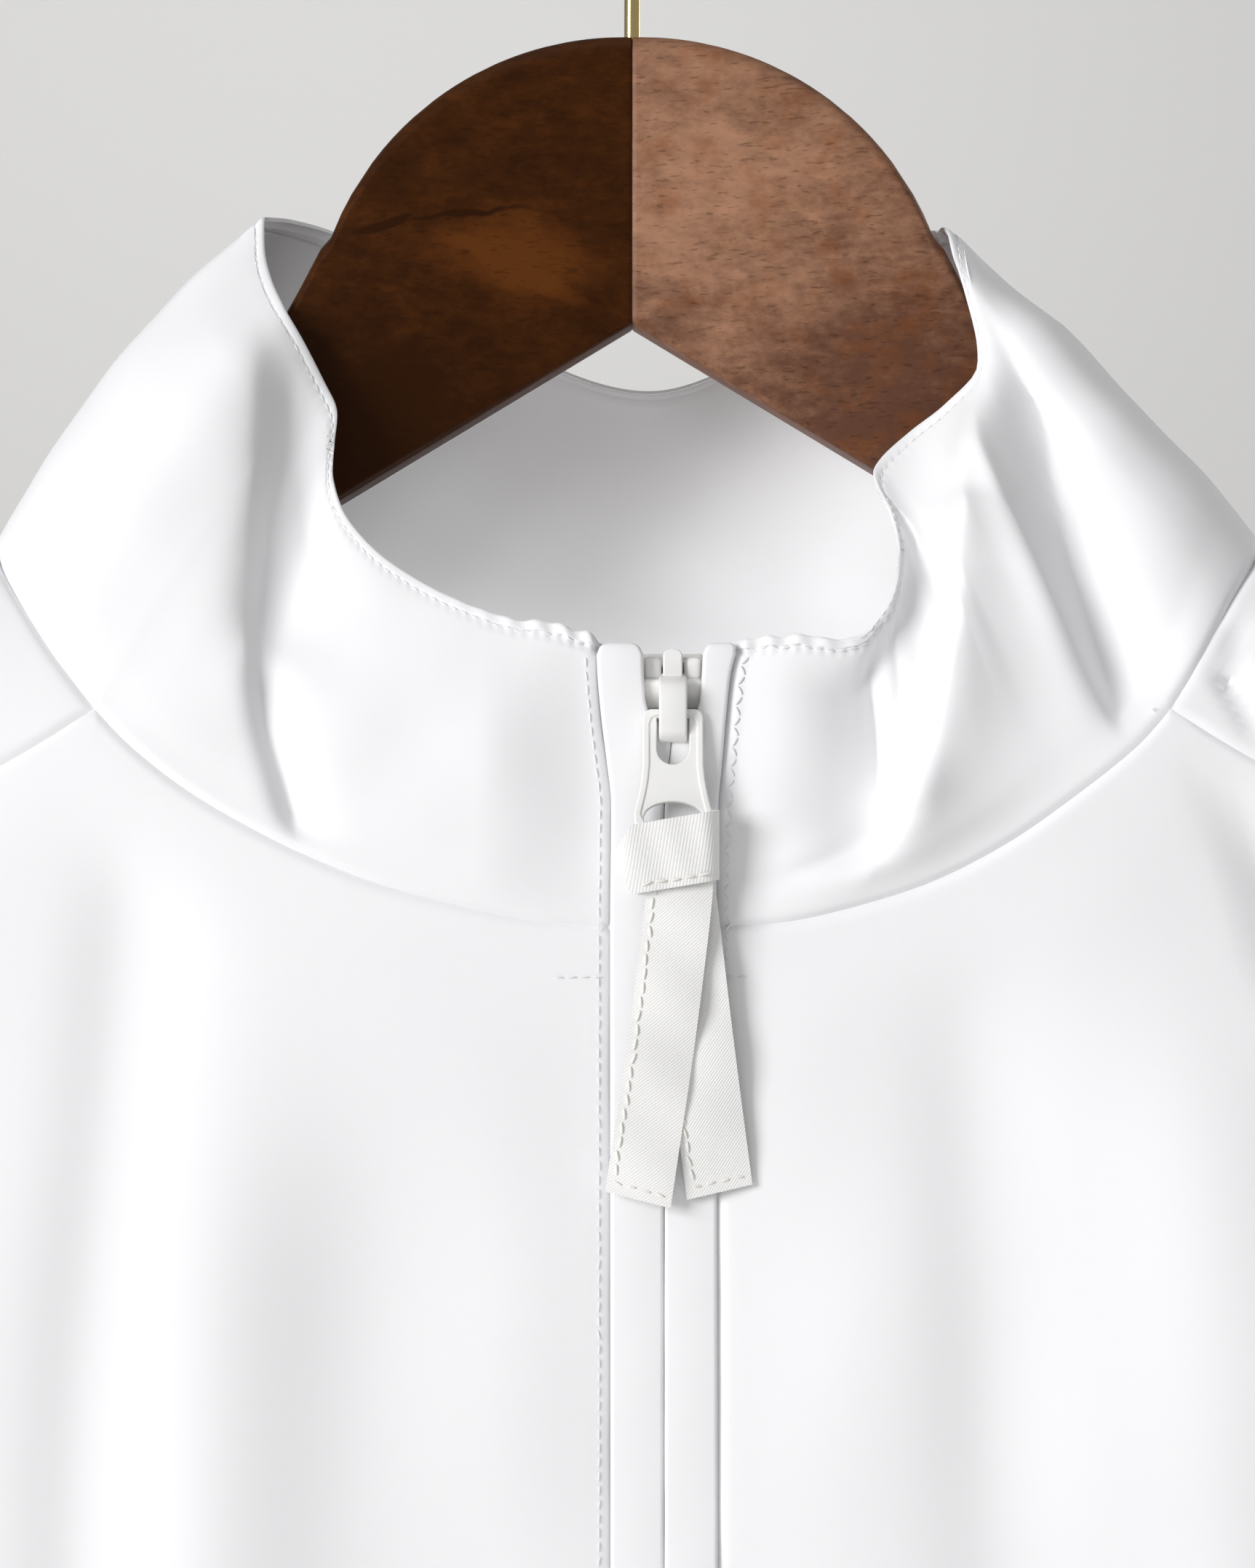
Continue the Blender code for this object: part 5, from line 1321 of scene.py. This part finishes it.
def make_bail(look):
    """The link that holds the tab: its eye goes round the tab's top bar, and its head meets the slider."""
    outer = [(3.3, 1.0), (3.6, 3.2), (4.3, 5.0), (4.4, 6.3), (3.0, 6.9), (1.0, 6.7), (-1.0, 5.7), (-2.3, 4.0),
             (-2.9, 1.6), (-2.9, -1.2), (-2.3, -3.4), (-0.9, -4.8), (0.8, -4.9), (2.3, -3.7), (3.0, -1.6)]
    eye = arc(0.25, 0.0, 1.7, 1.75, 0, 345, 23)
    item = flat_outline("zip_bail_link", [rounded_path(outer), eye], BAIL_WIDTH, 0.45)
    put(item, TAB_AXIS, Matrix(((0, 0, 1, 0), (1, 0, 0, 0), (0, 1, 0, 0), (0, 0, 0, 1))))
    smooth(item, 40.0)
    place(item, "windshirt", enamel_finish("bail_enamel", look), ("zip_bail",))


def tab_outline(inset=0.0):
    top, foot = TAB_TOP_HALF_WIDTH - inset, TAB_FOOT_HALF_WIDTH - inset
    high, end = TAB_BAR_HALF - inset, TAB_BAR_HALF - TAB_LENGTH + inset
    right = [(top - 1.3, high), (top - 0.4, high - 0.45), (top, high - 1.5), (top, -6.0), (top, -9.6),
             (top + 0.25, -12.4), (top + 0.75, -15.2), (foot, -18.4), (foot, end + 1.6),
             (foot - 0.5, end + 0.45), (foot - 1.6, end)]
    return right + [(-x, y) for x, y in reversed(right)]


def make_tab(look):
    """A flat tab with raised rims, a window for the bail and a slot for the ribbon."""
    window = [(2.9, -TAB_BAR_HALF), (2.9, -6.6)] + arc(0.0, -6.6, 2.9, 2.9, -12, -168, 14)
    window += [(-2.9, -6.6), (-2.9, -TAB_BAR_HALF)]
    slot = arc(0.0, -19.3, 5.2, 2.9, 0, 180, 18) + [(-5.2, -20.4), (5.2, -20.4)]
    plate = flat_outline("tab_plate", [tab_outline(0.35), window, slot], TAB_THICK - 0.5, 0.2)
    rim = flat_outline("tab_rim", [tab_outline(), tab_outline(1.25)], TAB_THICK, 0.28)
    turn = Matrix.Rotation(-TAB_TILT, 4, "X") @ Matrix.Rotation(0.5 * math.pi, 4, "X")
    item = join([put(part, TAB_AXIS, turn) for part in (plate, rim)], "zip_pull_tab")
    smooth(item, 35.0)
    place(item, "tab", enamel_finish("tab_enamel", look), ("pull_tab",))


# The ribbon

def make_knot(thread, finish):
    """The ribbon's wrap: a flattened band, folded to a point on its left."""
    width, deep, high = KNOT_SIZE
    section = np.array(rounded_section(0.5 * width, 0.5 * deep, 0.44 * deep, steps=7))
    section = np.vstack([section, section[:1]])
    length = run_of(section)
    section = sampled(section, length, np.linspace(0.0, length[-1], 73)[:-1])
    centre = np.array(KNOT_CENTRE)
    rows = []
    for z in np.linspace(0.5 * high, -0.5 * high, 15):
        points = []
        for x, y in section:
            pinch = smooth_step(-x, 5.6, 0.5 * width)
            low = -0.5 * high + 5.8 * pinch
            top = 0.5 * high - 4.2 * pinch
            crease = 0.10 * math.sin(0.9 * x + 0.3 * z) * smooth_step(-y, 0.0, 2.0)
            points.append(centre + [x, y - crease, low + (top - low) * (z / high + 0.5) + KNOT_RISE * x])
        rows.append(points)
    item = cloth_object("ribbon_wrap", np.array(rows), closed=True, wall=RIBBON_THICK)
    place(item, "tab", finish, ("ribbon_knot",))
    line = [centre + [x, -0.5 * deep - 0.10, -0.5 * high + 1.5 + KNOT_RISE * x]
            for x in np.linspace(-4.6, 0.5 * width - 1.4, 30)]
    row = stitches("ribbon_wrap_stitching", np.array(line), FORWARD, 2.0, 0.5, 0.28, unrest=0.12)
    place(row, "tab", thread)


def make_tail(name, node, route, bend, thread, finish):
    """A strip of ribbon down its middle line, a little curled, with sewing down its left edge and end."""
    points = along(route, 60)
    down = run_of(points)
    rows = []
    for spot, step, far in zip(points, np.gradient(points, axis=0), down):
        across = np.array([-step[2], 0.0, step[0]])
        across *= 0.5 * RIBBON_WIDTH / np.linalg.norm(across)
        row = []
        for share in np.linspace(-1.0, 1.0, 17):
            curl = -0.28 * (1.0 - share**2) + 0.42 * math.sin(far * 0.15 + bend + 0.8 * share)
            curl += 0.22 * math.sin(far * 0.41 + 2.0 * bend - 1.3 * share)
            slant = 0.02 * share * far * bend * 0.5
            row.append(spot + share * across + np.array([0.0, curl - 0.5 * RIBBON_THICK, -slant]))
        rows.append(row)
    grid = np.array(rows)
    item = cloth_object(name, grid, FORWARD, wall=RIBBON_THICK)
    place(item, "tab", finish, (node,))
    side, _ = seam_line(grid, "left", 1.4, FORWARD)
    end, _ = seam_line(grid, "bottom", 1.9, FORWARD)
    start = int(0.06 * len(side))
    sewing = [stitches(name + "_side", side[start:-3], FORWARD, 2.1, 0.35, 0.30, unrest=0.16),
              stitches(name + "_end", end[1:-1], FORWARD, 1.7, 0.6, 0.24, unrest=0.14)]
    place(join(sewing, name + "_stitching"), "tab", thread)


# The hanger

def hanger_edges(x):
    """Upper and lower edge of the wood at a distance from its middle."""
    if x < HANGER_EDGE[0][0]:
        upper = HUMP_TOP_Z - HUMP_RADIUS + math.sqrt(HUMP_RADIUS**2 - x * x)
        return upper, HANGER_NOTCH_Z - HANGER_LOW_SLOPE * x
    return smooth_value(x, HANGER_EDGE)[0]


def make_hanger(look):
    """Two contoured arms, mitred at the middle, that thin and round off toward their tips."""
    tip = [212.0, 214.0, 216.0, 218.0, 219.5, 220.6, 221.4, 222.0]
    for side, hand in SIDES:
        rings = []
        for x in np.concatenate([[0.01, 0.25, 1.0], np.linspace(3.0, 210.0, 110), tip]):
            upper, lower = hanger_edges(x)
            thick = WOOD_THICK + (WOOD_THICK_TIP - WOOD_THICK) * smooth_step(x, 90.0, 210.0)[()]
            thick *= 1.0 if x < tip[0] else 1.0 - 0.5 * ((x - tip[0]) / 10.0) ** 2
            arm = smooth_step(x, 66.0, 100.0)[()]
            mitre = 0.2 * max(0.0, 1.0 - x / 0.25)
            outline = rounded_section(0.5 * thick - mitre, 0.5 * (upper - lower) - mitre, 3.6 + 3.0 * arm,
                                      1.6 + 4.4 * arm, steps=7, limit=0.96)
            rings.append([(side * x, -ARM_RAKE * x + y, 0.5 * (upper + lower) + z) for y, z in outline])
        item = lofted("wood_" + hand, rings)
        smooth(item, 40.0)
        place(item, "windshirt",
              wood_finish("varnished_wood_" + hand, look, side), ("hanger_" + hand,))


def make_hook(look):
    """A straight stem that bends aside into a round hook, open at its lower right."""
    centre_z = 0.5 * HOOK_WIRE - HOOK_RADIUS
    turn = [math.radians(a) for a in range(205, -46, -10)]
    bend = [(HOOK_RADIUS * math.cos(a), 0.0, centre_z + HOOK_RADIUS * math.sin(a)) for a in turn]
    stem = [(0.0, 0.0, HUMP_TOP_Z - HOOK_SINK + 1.0), (0.0, 0.0, HUMP_TOP_Z), (0.0, 0.0, -68.0),
            (-0.6, 0.0, -58.0), (-8.0, 0.0, -44.5)]
    curve = bpy.data.curves.new("brass_hook", "CURVE")
    curve.dimensions = "3D"
    curve.bevel_depth = 0.5 * HOOK_WIRE * MM
    curve.bevel_resolution = 7
    curve.use_fill_caps = True
    route = along(stem + bend, 150)
    wire = curve.splines.new("POLY")
    wire.points.add(len(route) - 1)
    for point, spot in zip(wire.points, route):
        point.co = (*(Vector(spot) * MM), 1.0)
    wire.points[-1].radius = 0.7
    item = settle(linked("brass_hook", curve))
    smooth(item, 50.0)
    place(item, "windshirt", brass_finish(look), ("hanger_hook",))


# The stage

def area_light(name, spot, target, size, power):
    light = bpy.data.lights.new(name, "AREA")
    light.shape = "RECTANGLE"
    light.size, light.size_y = size
    light.energy = power
    item = linked(name, light)
    item.visible_camera = False
    item.location = spot
    item.rotation_euler = (Vector(target) - Vector(spot)).to_track_quat("-Z", "Y").to_euler()


def make_stage(stage):
    camera = bpy.data.cameras.new("camera")
    camera.lens = CAMERA_LENS
    camera.sensor_width = 36.0
    camera.sensor_fit = "AUTO"
    camera.clip_start = 0.05
    camera.clip_end = 20.0
    view = linked("camera", camera)
    view.location = Vector(CAMERA_PLACE) * MM
    view.rotation_euler = (0.5 * math.pi, 0.0, 0.0)
    bpy.context.scene.camera = view

    floor_z = (HEM_Z - FLOOR_BELOW_HEM) * MM
    for name, spot, tilt, colour in (
            ("floor", (0.0, 0.0, floor_z), 0.0, stage.floor_colour),
            ("wall", (0.0, stage.wall_distance, floor_z + 14.0), 0.5 * math.pi, stage.wall_colour)):
        bpy.ops.mesh.primitive_plane_add(size=STAGE_SIZE, location=spot, rotation=(tilt, 0.0, 0.0))
        item = settle(bpy.context.object)
        item.name = name
        finish = Finish("stage_" + name, Roughness=0.9, Specular_IOR_Level=0.0)
        cloud = finish.noise(finish.place(), 1.2, 2.0)
        item.data.materials.append(finish.wear(Base_Color=finish.tones(cloud, colour, 0.985)))

    for light in (
            ("key", (-1.31, -1.18, 0.14), (0.0, 0.0, -0.20), (0.8, 0.8), stage.key_power),
            ("front_fill", (-0.25, -1.45, 0.95), (0.0, 0.0, -0.20), (1.0, 1.0), stage.fill_power),
            ("top", (0.0, -0.3, 1.3), (0.0, 0.0, -0.2), (1.4, 1.0), stage.top_power),
            ("bounce", (0.0, -0.75, -0.85), (0.0, -0.02, -0.2), (0.9, 0.4), stage.bounce_power),
            ("through_cloth", (-0.006, -0.022, -0.222), (-0.006, 0.030, -0.150), (0.08, 0.02),
             stage.glow_power),
            ("rear", (1.5, 1.3, 0.35), (0.0, 0.04, -0.40), (0.8, 0.8), stage.rear_power),
            ("wall_wash", (-0.4, stage.wall_distance - 2.8, 1.5), (0.25, stage.wall_distance, 0.0),
             (3.8, 1.5), stage.wall_power)):
        area_light(*light)

    world = bpy.data.worlds.new("soft_room")
    world.use_nodes = True
    background = world.node_tree.nodes["Background"]
    background.inputs["Color"].default_value = (1.0, 1.0, 1.0, 1.0)
    background.inputs["Strength"].default_value = stage.room_light
    bpy.context.scene.world = world
    bpy.context.scene.view_settings.view_transform = "Standard"
    bpy.context.scene.view_settings.look = "None"
    bpy.context.scene.view_settings.exposure = stage.exposure


# Settings, operators and panel

def colour_setting(name, description, *value):
    return bpy.props.FloatVectorProperty(name=name, description=description, subtype="COLOR",
                                         default=value, min=0.0, max=1.0)


def number_setting(name, description, value, low=0.0, high=1.0):
    return bpy.props.FloatProperty(name=name, description=description, default=value, min=low, max=high)


def power_setting(name, description, watts):
    return bpy.props.FloatProperty(name=name, description=description, subtype="POWER",
                                   default=watts, min=0.0)


class WindshirtLook(bpy.types.PropertyGroup):
    colour: colour_setting("Cloth colour", "Colour of the microfibre", 0.87, 0.87, 0.885)
    roughness: number_setting("Cloth roughness", "How matt the cloth is", 0.62)
    crinkle: number_setting("Crinkle", "Strength of the cloth's fine unrest", 0.10)
    stitch_pitch: number_setting("Stitch pitch", "From stitch to stitch, in millimetres", 2.1, 0.5, 5.0)
    topstitch_inset: number_setting("Topstitch inset", "From the collar's top edge to its sewing, in mm",
                                    2.6, 0.5, 8.0)
    thread_colour: colour_setting("Thread colour", "Colour of the sewing thread", 0.84, 0.84, 0.85)


class HardwareLook(bpy.types.PropertyGroup):
    enamel: colour_setting("Enamel", "Colour of the slider and the pull tab", 0.85, 0.845, 0.83)
    colour: colour_setting("Zip tape", "Colour of the zip's woven tape", 0.84, 0.84, 0.84)
    brass: colour_setting("Brass", "Colour of the hook", 0.80, 0.62, 0.30)
    # The wood's stains; the dark and deep ones also hold the left half's painted shade, the light and plum
    # ones the right half's painted light.
    stain_dark_and_painted_shade: colour_setting("Dark stain", "Darkest tone of the wood", 0.027, 0.0075, 0.0010)
    stain_deep_and_painted_shade: colour_setting("Deep stain", "The wood's tone between dark and light", 0.110, 0.032, 0.005)
    stain_light_and_painted_light: colour_setting("Light stain", "Lightest tone of the wood", 0.37, 0.192, 0.115)
    stain_plum_and_painted_light: colour_setting("Plum mottle", "The purple-brown patches of the wood", 0.125, 0.052, 0.030)


class RibbonLook(bpy.types.PropertyGroup):
    colour: colour_setting("Ribbon colour", "Colour of the twill ribbon", 0.88, 0.875, 0.862)
    weave: number_setting("Weave", "Strength of the twill's relief", 0.5)
    thread_colour: colour_setting("Ribbon thread", "Colour of the ribbon's sewing", 0.82, 0.805, 0.755)


class StageLook(bpy.types.PropertyGroup):
    key_power: power_setting("Key light", "Soft light from the front left", 25.0)
    fill_power: power_setting("Fill light", "Broad light from the front, above", 1.5)
    bounce_power: power_setting("Bounce", "Light thrown up from below the front", 1.2)
    top_power: power_setting("Top light", "Soft light from above", 3.0)
    glow_power: power_setting("Light through the cloth", "What the thin front lets through to the inside",
                              0.030)
    rear_power: power_setting("Rear light", "Soft light from behind, on the right", 7.0)
    wall_power: power_setting("Wall light", "Light on the wall behind", 64.0)
    room_light: number_setting("Room light", "Even light from all round", 0.34, high=10.0)
    exposure: number_setting("Exposure", "Exposure in stops", 0.0, -10.0, 10.0)
    wall_distance: bpy.props.FloatProperty(name="Wall distance", subtype="DISTANCE", default=6.5, min=0.2,
                                           description="From the hanger to the wall behind")
    wall_colour: colour_setting("Wall colour", "Colour of the wall", 0.72, 0.715, 0.71)
    floor_colour: colour_setting("Floor colour", "Colour of the floor", 0.80, 0.80, 0.79)


class WINDSHIRT_OT_stage(bpy.types.Operator):
    """Set the camera, the wall, the floor and the lights"""
    bl_idname = "windshirt.stage"
    bl_label = "Stage"

    def execute(self, context):
        make_stage(context.scene.windshirt_stage)
        return {"FINISHED"}


class WINDSHIRT_OT_fronts(bpy.types.Operator):
    """Make the two front panels"""
    bl_idname = "windshirt.fronts"
    bl_label = "Front panels"

    def execute(self, context):
        make_fronts(context.scene.windshirt_cloth)
        return {"FINISHED"}


class WINDSHIRT_OT_back(bpy.types.Operator):
    """Make the back, which wraps over the shoulders"""
    bl_idname = "windshirt.back"
    bl_label = "Back"

    def execute(self, context):
        make_back(context.scene.windshirt_cloth)
        return {"FINISHED"}


class WINDSHIRT_OT_sleeves(bpy.types.Operator):
    """Make the two sleeves"""
    bl_idname = "windshirt.sleeves"
    bl_label = "Sleeves"

    def execute(self, context):
        make_sleeves(context.scene.windshirt_cloth)
        return {"FINISHED"}


class WINDSHIRT_OT_collar(bpy.types.Operator):
    """Make the funnel collar and its topstitching"""
    bl_idname = "windshirt.collar"
    bl_label = "Collar"

    def execute(self, context):
        look = context.scene.windshirt_cloth
        make_collar(look, thread_finish(look))
        return {"FINISHED"}


class WINDSHIRT_OT_zip(bpy.types.Operator):
    """Make the welts, the tapes with their teeth and the slider"""
    bl_idname = "windshirt.zip"
    bl_label = "Zip"

    def execute(self, context):
        cloth, hardware = context.scene.windshirt_cloth, context.scene.windshirt_hardware
        make_welts(cloth, thread_finish(cloth))
        make_zip_tapes(hardware)
        make_slider(hardware)
        make_bail(hardware)
        make_tab(hardware)
        return {"FINISHED"}


class WINDSHIRT_OT_ribbon(bpy.types.Operator):
    """Make the ribbon that is tied through the pull tab"""
    bl_idname = "windshirt.ribbon"
    bl_label = "Ribbon"

    def execute(self, context):
        look = context.scene.windshirt_ribbon
        finish = ribbon_finish(look)
        thread = thread_finish(look)
        make_knot(thread, finish)
        make_tail("ribbon_front_tail", "ribbon_tail_front", TAIL_FRONT, 1.0, thread, finish)
        make_tail("ribbon_rear_tail", "ribbon_tail_rear", TAIL_REAR, -1.0, thread, finish)
        return {"FINISHED"}


class WINDSHIRT_OT_hanger(bpy.types.Operator):
    """Make the wooden hanger and its brass hook"""
    bl_idname = "windshirt.hanger"
    bl_label = "Hanger"

    def execute(self, context):
        make_hanger(context.scene.windshirt_hardware)
        make_hook(context.scene.windshirt_hardware)
        return {"FINISHED"}


class WINDSHIRT_PT_pieces(bpy.types.Panel):
    """Sizes, colours and pieces of the windshirt"""
    bl_idname = "WINDSHIRT_PT_pieces"
    bl_label = "Windshirt"
    bl_space_type = "VIEW_3D"
    bl_region_type = "UI"
    bl_category = "Windshirt"

    def draw(self, context):
        for name in SETTINGS:
            group = getattr(context.scene, name)
            box = self.layout.box()
            for key in group.__annotations__:
                box.prop(group, key)
        for operator in PIECE_OPERATORS:
            self.layout.operator(operator.bl_idname)


PIECE_OPERATORS = (WINDSHIRT_OT_stage, WINDSHIRT_OT_hanger, WINDSHIRT_OT_back, WINDSHIRT_OT_fronts,
                   WINDSHIRT_OT_sleeves, WINDSHIRT_OT_collar, WINDSHIRT_OT_zip, WINDSHIRT_OT_ribbon)
SETTINGS = {"windshirt_cloth": WindshirtLook, "windshirt_hardware": HardwareLook,
            "windshirt_ribbon": RibbonLook, "windshirt_stage": StageLook}


def register():
    for group in SETTINGS.values():
        bpy.utils.register_class(group)
    for operator in PIECE_OPERATORS:
        bpy.utils.register_class(operator)
    bpy.utils.register_class(WINDSHIRT_PT_pieces)
    for name, group in SETTINGS.items():
        setattr(bpy.types.Scene, name, bpy.props.PointerProperty(type=group))


def unregister():
    for name in SETTINGS:
        delattr(bpy.types.Scene, name)
    bpy.utils.unregister_class(WINDSHIRT_PT_pieces)
    for operator in reversed(PIECE_OPERATORS):
        bpy.utils.unregister_class(operator)
    for group in reversed(SETTINGS.values()):
        bpy.utils.unregister_class(group)


def main():
    register()
    bpy.ops.windshirt.stage()
    bpy.ops.windshirt.hanger()
    bpy.ops.windshirt.back()
    bpy.ops.windshirt.fronts()
    bpy.ops.windshirt.sleeves()
    bpy.ops.windshirt.collar()
    bpy.ops.windshirt.zip()
    bpy.ops.windshirt.ribbon()


if __name__ == "__main__":
    main()
